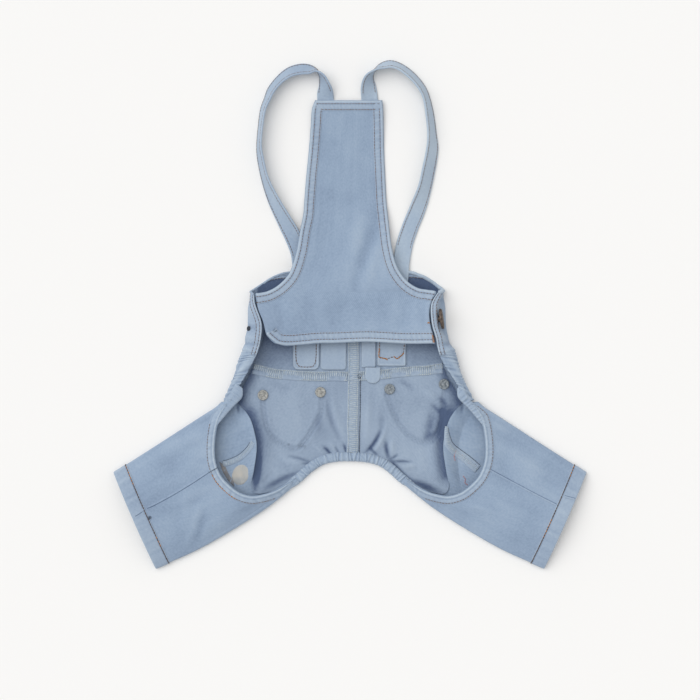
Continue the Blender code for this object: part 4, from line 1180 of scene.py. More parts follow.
# In these profiles the tone is paler on a worn turned edge, and darker in the dips of the stitched rows and
# at a strip's low edge, which is painted shade; the dark side of the lap is painted shade beside its raised
# edge
TURNED = (
    # share across from the turned edge, height, tone, share of the puckers
    (0.0, 0.25, 0.30, 0.0), (0.07, 0.95, 0.55, 0.4), (0.19, 1.05, 0.26, 0.8),
    (0.31, 0.55, -0.26, 0.3), (0.50, 0.86, 0.08, 1.0), (0.70, 0.84, 0.08, 1.0),
    (0.86, 0.50, -0.22, 0.3), (0.95, 0.60, 0.05, 0.6), (1.0, 0.05, -0.22, 0.0),
)
FLAT_TAPE = (
    (0.0, 0.12, 0.05, 0.0), (0.08, 0.60, 0.16, 0.5), (0.30, 0.8, 0.04, 1.0),
    (0.50, 0.8, 0.02, 1.0), (0.70, 0.8, 0.04, 1.0), (0.92, 0.60, 0.16, 0.5),
    (1.0, 0.12, 0.05, 0.0),
)
BUNCHED = (
    (0.0, 0.10, 0.05, 0.3), (0.12, 0.75, 0.20, 0.8), (0.3, 0.9, 0.06, 1.0), (0.5, 0.8, 0.0, 1.0),
    (0.7, 0.9, 0.06, 1.0), (0.88, 0.6, 0.10, 0.8), (1.0, 0.02, -0.10, 0.2),
)
LAP = (
    (0.0, 0.02, 0.0, 0.0), (0.35, 0.30, 0.04, 0.3), (0.66, 0.42, 0.10, 0.5),
    (0.80, 0.20, -0.70, 0.2), (0.92, 0.10, -0.85, 0.0), (1.0, 0.02, -0.55, 0.0),
)


def strip_piece(name, edge, width, tree, profile, seed, material=turned_denim, slot="denim_pale",
                thick=1.0, pucker=0.20, period=4.2, sink=0.15, even_out=2, tone=0.0):
    """A strip that lies on a surface. edge is the line of its turned edge, and the strip
    reaches to the left of that line by its width, a number or one value per point. Returns
    the piece and its upper lines, one for each row of the profile."""
    line = np.asarray(edge, dtype=float)[:, :2]
    width = np.broadcast_to(np.asarray(width, dtype=float), (len(line),))
    run = along(line)
    ends = np.clip(np.minimum(run, run[-1] - run) / 1.2 + 0.35, 0.35, 1)
    upper, lower, shade = [], [], []
    for share, height, colour, share_of_pucker in profile:
        plan = sideways(line, width * share)
        ground = dropped(tree, plan)
        ground[:, 2] = smoothed(ground[:, 2], even_out)
        ripple = waves(run + 2.2 * share, 1.0, period, seed)
        under = ground.copy()
        under[:, 2] = np.maximum(under[:, 2] - sink, FLOOR_GAP)
        over = ground
        over[:, 2] += (height * thick + pucker * ripple * share_of_pucker) * ends
        over[:, 2] = np.maximum(over[:, 2], FLOOR_GAP)
        upper.append(over)
        lower.append(under)
        shade.append(colour + tone + PUCKER_TONE * ripple * share_of_pucker)
    ring = np.stack(upper + lower[::-1], axis=1)
    shades = np.stack(shade + [s * 0 for s in shade], axis=1)
    return tube_piece(name, ring, material, tone=shades), upper


def roll_piece(name, line, radius, seed, tone):
    """A bound edge: a soft roll of cloth round a line in space."""
    line = np.asarray(line, dtype=float)
    run = along(line)
    step = np.gradient(line, axis=0)
    step /= np.linalg.norm(step, axis=1)[:, None]
    across = np.cross(step, np.array([0.0, 0.0, 1.0]))
    across /= np.maximum(np.linalg.norm(across, axis=1)[:, None], 1e-6)
    up = np.cross(across, step)
    ripple = waves(run, 1.0, 4.0, seed)
    size = radius * (1 + 0.10 * ripple) * np.clip(np.minimum(run, run[-1] - run) / 1.0 + 0.4, 0.4, 1)
    angle = (2 * math.pi * np.arange(ROLL_STEPS) / ROLL_STEPS)[None, :, None]
    round_line = across[:, None] * np.cos(angle) + up[:, None] * np.sin(angle)
    ring = line[:, None] + size[:, None, None] * round_line
    ring[..., 2] = np.maximum(ring[..., 2], FLOOR_GAP)
    shades = np.full(ring.shape[:2], tone) + 0.12 * ripple[:, None]
    return tube_piece(name, ring, turned_denim, tone=shades)


def border_strip(name, grid, width, profile, seed, outward, material=turned_denim,
                 pucker=0.2, period=4.0, sink=0.2, ends_at=(1.2, 0.35)):
    """A strip along the first column of a grid, over the face that looks along outward. With
    no width it covers the whole grid. ends_at is the length over which it gets its full
    height, and the share of it that the ends keep. Returns its upper lines."""
    grid = np.asarray(grid, dtype=float)
    steps = np.linalg.norm(np.diff(grid, axis=1), axis=2)
    reach = np.concatenate([np.zeros((len(grid), 1)), np.cumsum(steps, axis=1)], axis=1)
    shares = np.array([row[0] for row in profile])
    base = np.zeros((len(grid), len(shares), 3))
    for k in range(len(grid)):
        for axis in range(3):
            base[k, :, axis] = np.interp(shares * (width or reach[k, -1]), reach[k], grid[k, :, axis])
    normal = normals_of(base)
    normal *= np.sign((normal * np.array(outward)).sum())
    run = along(base[:, 0])
    taper, least = ends_at
    ends = np.clip(np.minimum(run, run[-1] - run) / taper + least, least, 1)
    over, shade = base.copy(), np.zeros(base.shape[:2])
    for k, (share, height, colour, share_of_pucker) in enumerate(profile):
        ripple = waves(run + 2.0 * share, 1.0, period, seed)
        rise = (BORDER_THICK * height + pucker * ripple * share_of_pucker) * ends
        over[:, k] += normal[:, k] * rise[:, None]
        shade[:, k] = colour + PUCKER_TONE * ripple * share_of_pucker
    under = base - normal * sink
    ring = np.concatenate([over, under[:, ::-1]], axis=1)
    ring[..., 2] = np.maximum(ring[..., 2], FLOOR_GAP)
    shades = np.concatenate([shade, shade * 0], axis=1)
    tube_piece(name, ring, material, tone=shades)
    return [over[:, k] for k in range(len(profile))]


# %% [markdown]
# ## Hems of the legs
# Each leg ends in a wide hem, folded twice and stitched down by one brown row. The wash
# leaves its edge and its puckers pale. It is drawn with the leg's own rings, a little
# proud of them, with a doubled wall that shows at the mouth.

# %% Leg hems
# The tone is pale at the worn edge of the hem, and dark at the step of its upper edge, which is painted
# shade
HEM_PROFILE = (
    # row of the leg, how proud, tone, share of the puckers
    (0.0, 0.05, 0.20, 0.0), (0.04, 0.45, 0.24, 0.3), (0.12, 0.60, 0.08, 0.6),
    (0.35, 0.55, 0.02, 0.8), (0.62, 0.55, 0.0, 0.8), (0.92, 0.50, 0.0, 0.7),
    (1.01, 0.15, -0.40, 0.2), (1.03, 0.30, 0.06, 0.4), (1.05, 0.20, 0.02, 0.3),
    (1.08, 0.0, -0.15, 0.0),
)
HEM_STITCH = 6
HEM_PUCKER = 0.16
HEM_WALL = 1.9
ORANGE_RISE = np.array([0.0, 0.0, 0.2])
# Stretches of the hem rows, from y to y, where the thread's orange core shows
ORANGE_STRETCHES = {
    -1: ((-144.0, -128.0), (-196.5, -188.5)),
    1: ((-137.5, -127.0), (-189.0, -174.0)),
}
hem_rows = []
for side, word in BOTH_SIDES:
    rings = np.stack([leg_ring(side, t) for t, *_ in HEM_PROFILE])
    normal = normals_of(rings, closed=True)
    middle = rings.mean(axis=1, keepdims=True)
    normal *= np.sign(((rings - middle) * normal).sum(axis=2).mean())
    ripple = waves(along(rings[3]), 1.0, 6.5, 51 + side)
    hem_tone = np.zeros(rings.shape[:2])
    for k, (_, proud, colour, share) in enumerate(HEM_PROFILE):
        rings[k] += normal[k] * (proud + HEM_PUCKER * ripple * share)[:, None]
        hem_tone[k] = colour + 0.12 * ripple * share
    rings[..., 2] = np.maximum(rings[..., 2], FLOOR_GAP)
    hem = sheet_piece("hem_cloth_" + word, rings, "out", turned_denim,
                      closed=True, tone=hem_tone, wall=HEM_WALL)
    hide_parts("hem_" + word)
    row = rings[HEM_STITCH] + normal[HEM_STITCH] * THREAD_RISE
    row[:, 2] = np.maximum(row[:, 2], LOWEST_THREAD)
    hem_rows.append(row)
    above = row[row[:, 2] > 5.0]
    for low, high in ORANGE_STRETCHES[side]:
        orange_rows.append((above + ORANGE_RISE)[(above[:, 1] > low) & (above[:, 1] < high)])

# %% [markdown]
# ## Bindings of the leg openings and seams of the legs
# The belly side of each leg opening is faced with a narrow turned band. From its corner the
# leg's seam runs out to the hem as a fine lapped line, and stops a little off in the hem.

# %% Leg opening bands and leg seams
OPENING_BAND = 6.8
OPENING_FIRST, OPENING_LAST = 1, -4
# The row along a band starts below this y and ends this far from the middle. On the left
# its orange core shows between two values of y.
BAND_ROW_TOP = {-1: -94.0, 1: -78.0}
BAND_ROW_INNER = 64.0
BAND_ORANGE = (-157.5, -136.0)
BAND_ORANGE_OUTER = -97.0
SEAM_LAP = 2.2
SEAM_SHIFT = -0.85 * SEAM_LAP
LEG_SEAM = {
    -1: ((-119.0, -134.0), (-132.7, -143.1), (-150.2, -153.7), (-166.0, -162.2), (-171.2, -164.3)),
    1: ((116.5, -130.1), (131.4, -138.3), (146.2, -146.2), (161.0, -154.0), (175.6, -161.3)),
}
HEM_SEAM = {
    -1: ((-173.0, -165.4), (-177.4, -168.6), (-181.2, -171.0)),
    1: ((181.4, -153.6), (186.0, -154.8), (190.4, -155.9)),
}
leg_trees = {side: surface_of(*placed("leg_cloth_" + word)) for side, word in BOTH_SIDES}
for side, word in BOTH_SIDES:
    edge = even(OPENING_EDGE, 150)[OPENING_FIRST:OPENING_LAST] * np.array([side, 1.0])
    edge = edge if side > 0 else edge[::-1]
    inside = sideways(edge, 0.5)
    run = along(inside)
    width = OPENING_BAND * np.clip(np.minimum(run, run[-1] - run) / 16.0 + 0.14, 0.14, 1)
    band, lines = strip_piece("opening_band_" + word, inside, width, leg_trees[side],
                              TURNED, 61 + side, thick=0.9, pucker=0.22)
    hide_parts("opening_binding_" + word)
    row = lines[FAR_STITCH]
    row = row[(np.abs(row[:, 0]) > BAND_ROW_INNER) & (row[:, 1] < BAND_ROW_TOP[side])]
    brown_rows.append(row)
    if side < 0:
        between = (row[:, 1] > BAND_ORANGE[0]) & (row[:, 1] < BAND_ORANGE[1])
        orange_rows.append((row + ORANGE_RISE)[between & (row[:, 0] < BAND_ORANGE_OUTER)])
    seam = sideways(fine_line(LEG_SEAM[side]), SEAM_SHIFT)
    strip_piece("leg_seam_" + word, seam, SEAM_LAP, leg_trees[side], LAP, 71 + side,
                material=outer_denim, slot="denim", thick=0.8, pucker=0.05, period=5.0)
    seam = sideways(fine_line(HEM_SEAM[side]), SEAM_SHIFT)
    hem_tree = surface_of(*placed("hem_cloth_" + word))
    strip_piece("hem_seam_" + word, seam, SEAM_LAP, hem_tree, LAP, 75 + side,
                thick=0.6, pucker=0.05, period=5.0)

# %% [markdown]
# ## Edges of the bib
# The bib's long sides and its top are turned over and held by two brown rows, one close to
# the edge. Its lower edge is a hem of the same width. On the real garment the rows pull the
# layers together, and the wash bleaches what stands up between them.

# %% Bib bands
BIB_BAND = 8.8
BIB_HEM = 9.6
BIB_PUCKER = 0.16
BIB_SIDE_END = 13.95
bib_tree = surface_of(bib_cloth)
side_last = int(round(BIB_SIDE_END / (len(BIB) - 1) * (BIB_ROWS - 1)))
side_edges = {
    -1: sideways(bib_grid[2:side_last, 0, :2], 0.35),
    1: sideways(bib_grid[2:side_last, -1, :2][::-1], 0.35),
}
for side, word in BOTH_SIDES:
    edge = even(side_edges[side], 300)
    band, lines = strip_piece("bib_edge_" + word, edge, BIB_BAND, bib_tree, TURNED, 81 + side,
                              thick=0.9, pucker=BIB_PUCKER)
    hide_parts("bib_binding_" + word)
    brown_rows += [lines[NEAR_STITCH][2:-2], lines[FAR_STITCH][2:-2]]
top_edge = even([(27.0, 181.0), (-29.2, 181.0)], 90)
_, lines = strip_piece("bib_top_edge", top_edge, BIB_BAND, bib_tree, TURNED, 85, pucker=BIB_PUCKER)
brown_rows += [lines[NEAR_STITCH][2:-2], lines[FAR_STITCH][10:-10]]
corner_part = bib_grid[-14:-2:3, 0, :2] + np.array([0.35, 0.0])
hem_part = sideways(bib_grid[-1, :, :2], 0.3)[4::3]
hem_edge = even(np.concatenate([corner_part, hem_part]), 230)
_, lines = strip_piece("bib_lower_hem", hem_edge, BIB_HEM, bib_tree, TURNED, 87, thick=1.1, pucker=0.2)
brown_rows += [lines[NEAR_STITCH][4:-2], lines[FAR_STITCH][26:-2]]

# %% [markdown]
# ## Plackets and the bound back edge
# The front edge of each turned-up side is a narrow placket with two rows of stitches. The
# back's upper edge, from armhole to armhole, is bound in the same way and runs up into the
# tips of the sides.

# %% Plackets and back edge
PLACKET_BAND = 5.4
BACK_BAND = 4.4
EDGE_ROLL = {-1: 1.0, 1: 1.5}
EDGE_TONE = {-1: -0.1, 1: 0.4}
PLACKET_LAST = 128
FLOOR_PANELS = ("seat_cloth_left", "seat_cloth_right", "back_cloth_left", "back_cloth_right")
floor_tree = surface_of(*placed(*FLOOR_PANELS))
for side, word in BOTH_SIDES:
    grid = side_grids[side]
    front = grid[:PLACKET_LAST, ::-1]
    lines = border_strip("placket_" + word, front, PLACKET_BAND, TURNED, 91 + side,
                         (side * 0.6, 0.0, 1.0))
    brown_rows += [lines[NEAR_STITCH][3:-3], lines[FAR_STITCH][3:-3]]
    corner = at_rows(SIDE_TABLE[side], [0.0])[0, 2:4]
    top = fine_line([tuple(corner)] + list(BACK_TOP[side]))
    line = sideways(top, -0.3)[::-1] if side < 0 else sideways(top, 0.3)
    from_corner = along(line)[::-1] if side < 0 else along(line)
    width = BACK_BAND * np.clip(from_corner / 16.0, 0.12, 1)
    # The back's bound edge is darkened with painted shade, as it lies in the armholes under the bib
    _, lines = strip_piece("back_edge_" + word, line, width, floor_tree, TURNED, 98 + side,
                           thick=0.9, tone=-0.3)
    brown_rows.append(lines[FAR_STITCH][3:-3])
    floor_part = top[::-1, :2][:-2:3]
    floor_part = np.column_stack([floor_part, np.full(len(floor_part), CLOTH + 0.2)])
    edge = even(np.concatenate([floor_part, grid[0, 3::4]]), 150)
    edge[:, 2] += 0.2
    roll_piece("bound_edge_" + word, edge, EDGE_ROLL[side], 111 + side, EDGE_TONE[side])

# %% [markdown]
# ## Seam allowances, tabs and the small loop
# Inside the waist and down the middle of the back the raw edges are overlocked and lie open
# as pale tapes. Four tabs hang from under the bib over the waist seam, and a little loop
# peeps out from under the tape.

# %% Tapes and tabs
TAPE_HALF = 4.6
CENTRE_TAPE_HALF = 5.2
CENTRE_SEAM = (
    (BACK_AXIS, -20.0), (BACK_AXIS, -48.0), (BACK_AXIS - 0.6, -80.0), (BACK_AXIS - 1.0, -118.0),
)
TAPE_LOOK = {"material": inner_denim, "slot": "overlock_thread", "even_out": 6}
TABS = (
    # name, middle x and y, width, length, corner radius, width of the turned border
    ("tab_left", -37.2, -34.0, 22.4, 27.0, 5.0, 2.4),
    ("tab_inner_left", -14.0, -34.0, 22.0, 27.0, 3.0, 0.0),
    ("tab_inner_right", 15.9, -33.0, 12.0, 25.0, 1.0, 0.0),
    ("tab_right", 35.4, -32.0, 24.6, 24.5, 1.5, 2.6),
)
TAB_BASE = 1.75
TAB_RISE = 1.1


def tab_grid(x, y, width, length, radius, border, base=TAB_BASE):
    """The upper face of a tab with round lower corners, and its tone."""
    v = np.linspace(0, 1, 44)
    u = np.linspace(0, 1, 34)
    from_end = length * (1 - v)
    corner = np.sqrt(np.maximum(0, radius ** 2 - np.maximum(0, radius - from_end) ** 2))
    half = width / 2 - radius + corner
    grid = np.zeros((len(v), len(u), 3))
    grid[..., 0] = x + (2 * u[None, :] - 1) * half[:, None]
    grid[..., 1] = y + length / 2 - length * v[:, None]
    edge = np.minimum(half[:, None] - np.abs(grid[..., 0] - x), from_end[:, None])
    puff = np.clip(edge / 0.7, 0, 1) ** 0.5
    slope = 0.10 * np.sin(grid[..., 0] / 5.0 + x) + 0.08 * np.sin(grid[..., 1] / 7.0)
    tone = 0.10 + 0.25 * soft(edge, 0.8) - 0.06 * slope
    # A turned border is paler where it is doubled, and its stitched dent is darkened with painted shade
    if border:
        dent = soft(edge, 0.5, border)
        doubled = np.clip((border - edge) / 0.6, 0, 1)
        slope = slope + 0.35 * doubled - 0.35 * dent
        tone = tone + 0.12 * doubled - 0.10 * dent
    grid[..., 2] = base + 0.25 + TAB_RISE * puff + slope * puff
    return grid, tone


tape_lines = {}
for side, word in BOTH_SIDES:
    start = tuple(at_rows(SIDE_TABLE[side], [WAIST_ROW])[0, 2:4])
    line = even([start] + list(WAIST[side]), 130)[:-8]
    line[:, 1] += waves(along(line), 0.35, 26.0, 105 + side)
    edge = sideways(line, -TAPE_HALF) if side < 0 else sideways(line[::-1], -TAPE_HALF)
    tape, lines = strip_piece("waist_tape_" + word, edge, 2 * TAPE_HALF, floor_tree, FLAT_TAPE,
                              101 + side, pucker=0.14, **TAPE_LOOK)
    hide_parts("waist_strip_" + word)
    tape_lines[word] = lines
centre = even(CENTRE_SEAM, 150)
centre[:, 0] += waves(along(centre), 0.25, 30.0, 109)
edge = sideways(centre, -CENTRE_TAPE_HALF)
tape, lines = strip_piece("centre_tape", edge, 2 * CENTRE_TAPE_HALF, floor_tree, FLAT_TAPE,
                          107, thick=1.1, pucker=0.12, **TAPE_LOOK)
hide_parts("centre_strip")
tape_lines["centre"] = lines


def tab_piece(name, grid, tone, base):
    """A tab or loop of turned denim in place of a solid."""
    tab = slab_piece(name + "_cloth", grid, tone, turned_denim, turned_denim, base=base)
    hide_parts(name)


for name, *sizes in TABS:
    grid, tone = tab_grid(*sizes)
    tab_piece(name, grid, tone, TAB_BASE)
LOOP_BASE = 3.0
grid, tone = tab_grid(19.4, -52.2, 13.2, 13.6, 6.5, 0.0, base=LOOP_BASE)
grid[..., 2] += 0.5 * np.sin(math.pi * np.linspace(0, 1, grid.shape[1]))[None, :]
tab_piece("waist_loop", grid, tone, LOOP_BASE)

# %% [markdown]
# ## Threads
# All seams are sewn with the same few threads: brown on the outside, a little orange at the
# bar tacks, and a pale one on the overlocked tapes. One node tree lays stitches along any
# set of lines: it resamples the lines, puts a short thread at every point, turned along the
# line, and gives every stitch its own small slant, since no row of stitches is perfect.

# %% Thread materials
GRAIN_DEPTH = 0.0002


def speckled(name, dark, light, scale, roughness, metallic=0.0, bump=0.3):
    """A material that wanders between two colours in fine grains."""
    material = plain_material(name, dark, roughness, metallic)
    nodes = material.node_tree.nodes
    links = material.node_tree.links
    shader = nodes["Principled BSDF"]
    place = nodes.new("ShaderNodeTexCoord")
    grain = nodes.new("ShaderNodeTexNoise")
    grain.inputs["Scale"].default_value = scale
    grain.inputs["Detail"].default_value = 3.0
    links.new(place.outputs["Object"], grain.inputs["Vector"])
    ramp = nodes.new("ShaderNodeValToRGB")
    ramp.color_ramp.elements[0].position = 0.32
    ramp.color_ramp.elements[0].color = dark
    ramp.color_ramp.elements[1].position = 0.68
    ramp.color_ramp.elements[1].color = light
    links.new(grain.outputs["Fac"], ramp.inputs["Fac"])
    links.new(ramp.outputs["Color"], shader.inputs["Base Color"])
    rough = nodes.new("ShaderNodeBump")
    rough.inputs["Strength"].default_value = bump
    rough.inputs["Distance"].default_value = GRAIN_DEPTH
    links.new(grain.outputs["Fac"], rough.inputs["Height"])
    links.new(rough.outputs["Normal"], shader.inputs["Normal"])
    return material


GRAINS_PER_METRE = 900.0
THREADS = {
    # the dark and the light colour of its grains, and how rough it is
    "brown": ((0.075, 0.045, 0.035, 1.0), (0.220, 0.125, 0.080, 1.0), 0.7),
    "hem": ((0.040, 0.040, 0.050, 1.0), (0.140, 0.100, 0.080, 1.0), 0.75),
    "orange": ((0.300, 0.110, 0.025, 1.0), (0.560, 0.240, 0.060, 1.0), 0.7),
    "pink": ((0.480, 0.140, 0.150, 1.0), (0.640, 0.300, 0.280, 1.0), 0.7),
    "pale": ((0.400, 0.470, 0.510, 1.0), (0.640, 0.690, 0.690, 1.0), 0.75),
    "dark": ((0.060, 0.085, 0.130, 1.0), (0.130, 0.160, 0.210, 1.0), 0.75),
    "faint": ((0.150, 0.200, 0.280, 1.0), (0.270, 0.330, 0.410, 1.0), 0.8),
}
threads = {name: speckled("thread_" + name, dark, light, GRAINS_PER_METRE, roughness)
           for name, (dark, light, roughness) in THREADS.items()}
print("threads", sorted(threads))

# %% The tree that sews
STITCH_SIDES = 6
STITCH_RINGS = 4


def new_tree(name, output, **inputs):
    """A node tree with named inputs of given kinds and one geometry output, and the nodes
    at its two ends."""
    tree = bpy.data.node_groups.new(name, "GeometryNodeTree")
    for key, kind in inputs.items():
        tree.interface.new_socket(key, in_out="INPUT", socket_type="NodeSocket" + kind)
    tree.interface.new_socket(output, in_out="OUTPUT", socket_type="NodeSocketGeometry")
    return tree, tree.nodes.new("NodeGroupInput"), tree.nodes.new("NodeGroupOutput")


def set_on_points(tree, given, result, points, shape, rotation, size):
    """End a tree: the shape is set on every point, turned and sized, in the given material."""
    place = tree.nodes.new("GeometryNodeInstanceOnPoints")
    real = tree.nodes.new("GeometryNodeRealizeInstances")
    coat = tree.nodes.new("GeometryNodeSetMaterial")
    tree.links.new(points, place.inputs["Points"])
    tree.links.new(shape, place.inputs["Instance"])
    tree.links.new(rotation, place.inputs["Rotation"])
    tree.links.new(size, place.inputs["Scale"])
    tree.links.new(place.outputs["Instances"], real.inputs["Geometry"])
    tree.links.new(real.outputs["Geometry"], coat.inputs["Geometry"])
    tree.links.new(given.outputs["Material"], coat.inputs["Material"])
    tree.links.new(coat.outputs["Geometry"], result.inputs[0])


def stitch_tree():
    """A node tree that lays short threads along lines. All sizes are named inputs."""
    tree, given, result = new_tree(
        "sewn_rows", "Stitches", Lines="Geometry", Spacing="Float", Length="Float", Thread="Float",
        Turn="Float", Uneven="Float", Seed="Int", Material="Material")
    nodes, links = tree.nodes, tree.links
    curve = nodes.new("GeometryNodeMeshToCurve")
    points = nodes.new("GeometryNodeCurveToPoints")
    points.mode = "LENGTH"
    links.new(given.outputs["Lines"], curve.inputs["Mesh"])
    links.new(curve.outputs["Curve"], points.inputs["Curve"])
    links.new(given.outputs["Spacing"], points.inputs["Length"])

    def random(low, high, seed_step):
        node = nodes.new("FunctionNodeRandomValue")
        node.data_type = "FLOAT"
        shown = {socket.name: socket for socket in node.inputs if socket.enabled}
        shown["Min"].default_value = low
        shown["Max"].default_value = high
        seed = nodes.new("ShaderNodeMath")
        seed.inputs[1].default_value = seed_step
        links.new(given.outputs["Seed"], seed.inputs[0])
        links.new(seed.outputs[0], shown["Seed"])
        return next(socket for socket in node.outputs if socket.enabled)

    def times(a, b, operation="MULTIPLY"):
        node = nodes.new("ShaderNodeMath")
        node.operation = operation
        links.new(a, node.inputs[0])
        links.new(b, node.inputs[1])
        return node.outputs[0]

    shape = nodes.new("GeometryNodeMeshUVSphere")
    shape.inputs["Segments"].default_value = STITCH_SIDES
    shape.inputs["Rings"].default_value = STITCH_RINGS
    shape.inputs["Radius"].default_value = 0.5
    lie = nodes.new("FunctionNodeAlignRotationToVector")
    lie.axis = "X"
    links.new(points.outputs["Tangent"], lie.inputs["Vector"])
    slant = times(given.outputs["Turn"], times(random(-1.0, 1.0, 1), given.outputs["Uneven"]), "ADD")
    turn = nodes.new("FunctionNodeAxisAngleToRotation")
    turn.inputs["Axis"].default_value = (0.0, 0.0, 1.0)
    links.new(slant, turn.inputs["Angle"])
    both = nodes.new("FunctionNodeRotateRotation")
    both.rotation_space = "GLOBAL"
    links.new(lie.outputs[0], both.inputs[0])
    links.new(turn.outputs[0], both.inputs[1])
    size = nodes.new("ShaderNodeCombineXYZ")
    links.new(times(given.outputs["Length"], random(0.85, 1.1, 2)), size.inputs["X"])
    links.new(times(given.outputs["Thread"], random(0.85, 1.2, 3)), size.inputs["Y"])
    links.new(given.outputs["Thread"], size.inputs["Z"])
    set_on_points(tree, given, result, points.outputs["Points"], shape.outputs["Mesh"],
                  both.outputs[0], size.outputs[0])
    return tree


sewing = stitch_tree()


def worked(guide, tree, name, values):
    """The plain mesh that a node tree makes of a guide object, which is then removed."""
    modifier = guide.modifiers.new(name, "NODES")
    modifier.node_group = tree
    for item in tree.interface.items_tree:
        if item.in_out == "INPUT" and item.name in values:
            modifier[item.identifier] = values[item.name]
    graph = bpy.context.evaluated_depsgraph_get()
    mesh = bpy.data.meshes.new_from_object(guide.evaluated_get(graph))
    bpy.data.objects.remove(guide, do_unlink=True)
    mesh.name = name
    mesh.materials.clear()
    return mesh


def sewn(name, lines, colour, spacing=2.5, length=2.45, thread=0.62, turn=0.0, uneven=6.0, seed=7):
    """Sew lines of points with stitches and keep the result as a plain mesh."""
    corners, edges = [], []
    for line in lines:
        first = len(corners)
        corners.extend((np.asarray(line) * MM).tolist())
        edges.extend((first + k, first + k + 1) for k in range(len(line) - 1))
    guide_mesh = bpy.data.meshes.new(name + "_lines")
    guide_mesh.from_pydata(corners, edges, [])
    guide = bpy.data.objects.new(name + "_lines", guide_mesh)
    bpy.context.scene.collection.objects.link(guide)
    values = {"Spacing": spacing * MM, "Length": length * MM, "Thread": thread * MM,
              "Turn": math.radians(turn), "Uneven": math.radians(uneven), "Seed": seed,
              "Material": threads[colour]}
    mesh = worked(guide, sewing, name, values)
    bpy.data.meshes.remove(guide_mesh)
    mesh.shade_smooth()
    add_piece(name, mesh, threads[colour])


# %% [markdown]
# The straps have a row along both edges of both faces. The tapes get slanting threads across
# and a chain along both edges, as an overlock machine makes them.

# %% Sew the rows
STRAP_ROW = 0.76
STRAP_ROW_DEPTH = 0.72
for side, table in STRAP_TABLE.items():
    centre, across, face = strap_frame(table, side, STRAP_STEPS)
    for a in (-STRAP_ROW, STRAP_ROW):
        for sign in (-1, 1):
            rise = sign * (STRAP_THICK / 2 * STRAP_ROW_DEPTH + THREAD_RISE)
            brown_rows.append((centre + across * (a * STRAP_WIDTH / 2) + face * rise)[22:-40])
sewn("brown_stitches", brown_rows, "brown")
sewn("hem_stitches", hem_rows, "hem", length=3.3, thread=1.0, uneven=3.0, seed=12)
sewn("orange_stitches", orange_rows, "orange", length=2.3, thread=0.8, uneven=5.0)


def tape_rows(lines, share):
    """A line on a tape at a share of its width, a little over its face."""
    row = (lines[0] + (lines[-1] - lines[0]) * share)[1:-1]
    row[:, 2] = lines[3][1:-1, 2] + THREAD_RISE
    return row


cross_rows = [tape_rows(lines, 0.5) for lines in tape_lines.values()]
chain_rows = [tape_rows(lines, share) for lines in tape_lines.values() for share in (0.12, 0.86)]
sewn("overlock_threads", cross_rows, "pale", spacing=1.7, length=8.6, thread=0.55, turn=84.0, uneven=8.0)
sewn("overlock_chains", chain_rows, "pale", spacing=1.7, length=1.9, thread=0.7, turn=24.0, uneven=14.0)

# %% [markdown]
# ## Inside the legs
# Through the openings the inside of each leg shows: its inner seam with an overlocked
# allowance, on the left a cream repair patch and the tan reverse of the outer stitching.

# %% Inner seams, patch and tan edge
INNER_SEAM = {
    -1: ((-84.2, -107.4), (-87.6, -113.1), (-94.6, -119.6), (-103.1, -123.5), (-109.0, -125.0)),
    1: ((111.2, -129.0), (101.6, -120.8), (94.4, -115.6), (87.2, -109.4), (84.0, -101.0),
        (83.0, -95.0)),
}
TAN_EDGE = ((-111.0, -126.0), (-107.8, -134.4), (-103.2, -142.0), (-98.6, -146.6))
# Width of each inner tape at its start, two thirds along and at its end
INNER_TAPE = {-1: (4.4, 5.2, 5.2), 1: (8.0, 7.0, 2.4)}
PATCH_CENTRE = (-93.0, -136.6)
PATCH_HALF = (7.0, 8.8)
PATCH_TURN = -20.0
PATCH_RISE = 0.5
PATCH_HIGHEST = 5.0
cream_cloth = speckled("patch_cream", (0.380, 0.400, 0.410, 1.0), (0.520, 0.500, 0.460, 1.0), 90.0, 0.9)
tan_cloth = speckled("edge_tan", (0.180, 0.200, 0.235, 1.0), (0.310, 0.290, 0.280, 1.0), 140.0, 0.9)
inner_lines = {}
for side, word in BOTH_SIDES:
    line = fine_line(INNER_SEAM[side])
    width = np.interp(np.linspace(0, 1, len(line)), (0, 0.7, 1), INNER_TAPE[side])
    _, lines = strip_piece("inner_tape_" + word, line, width, leg_trees[side], FLAT_TAPE, 121 + side,
                           slot="overlock_thread", thick=0.8, pucker=0.15, even_out=3)
    inner_lines[side] = lines
tan_line = fine_line(TAN_EDGE)
tan_width = 3.6 * np.clip(np.sin(math.pi * np.linspace(0.03, 0.97, len(tan_line))) * 1.8, 0.2, 1)
strip_piece("tan_edge", tan_line, tan_width, leg_trees[-1], FLAT_TAPE, 125, material=tan_cloth,
            slot="denim", thick=0.4, pucker=0.4, even_out=3)
u, v = np.meshgrid(np.linspace(-1, 1, 26), np.linspace(1, -1, 30))
disc = np.stack([u * np.sqrt(1 - v ** 2 / 2), v * np.sqrt(1 - u ** 2 / 2)], axis=-1) * PATCH_HALF
turn = math.radians(PATCH_TURN)
turning = np.array([[math.cos(turn), math.sin(turn)], [-math.sin(turn), math.cos(turn)]])
disc = disc @ turning + np.array(PATCH_CENTRE)
rim = np.minimum(1 - np.abs(u), 1 - np.abs(v))
ground = dropped(leg_trees[-1], disc.reshape(-1, 2))[:, 2].reshape(rim.shape)
ground = np.minimum(ground, PATCH_HIGHEST)
rise = PATCH_RISE * np.clip(rim / 0.2, 0.1, 1) + 0.10 * np.sin(disc[..., 0] * 1.1 + disc[..., 1] * 0.6)
slab_piece("cream_patch", with_height(disc, ground + rise), np.zeros(rim.shape), cream_cloth, cream_cloth,
           base=ground - 0.2)
seam_rows = [lines[0][3:-3] + [0, 0, 0.25] for lines in inner_lines.values()]
sewn("inner_seams", seam_rows, "dark", spacing=1.8, length=2.4, thread=0.6, uneven=3.0)
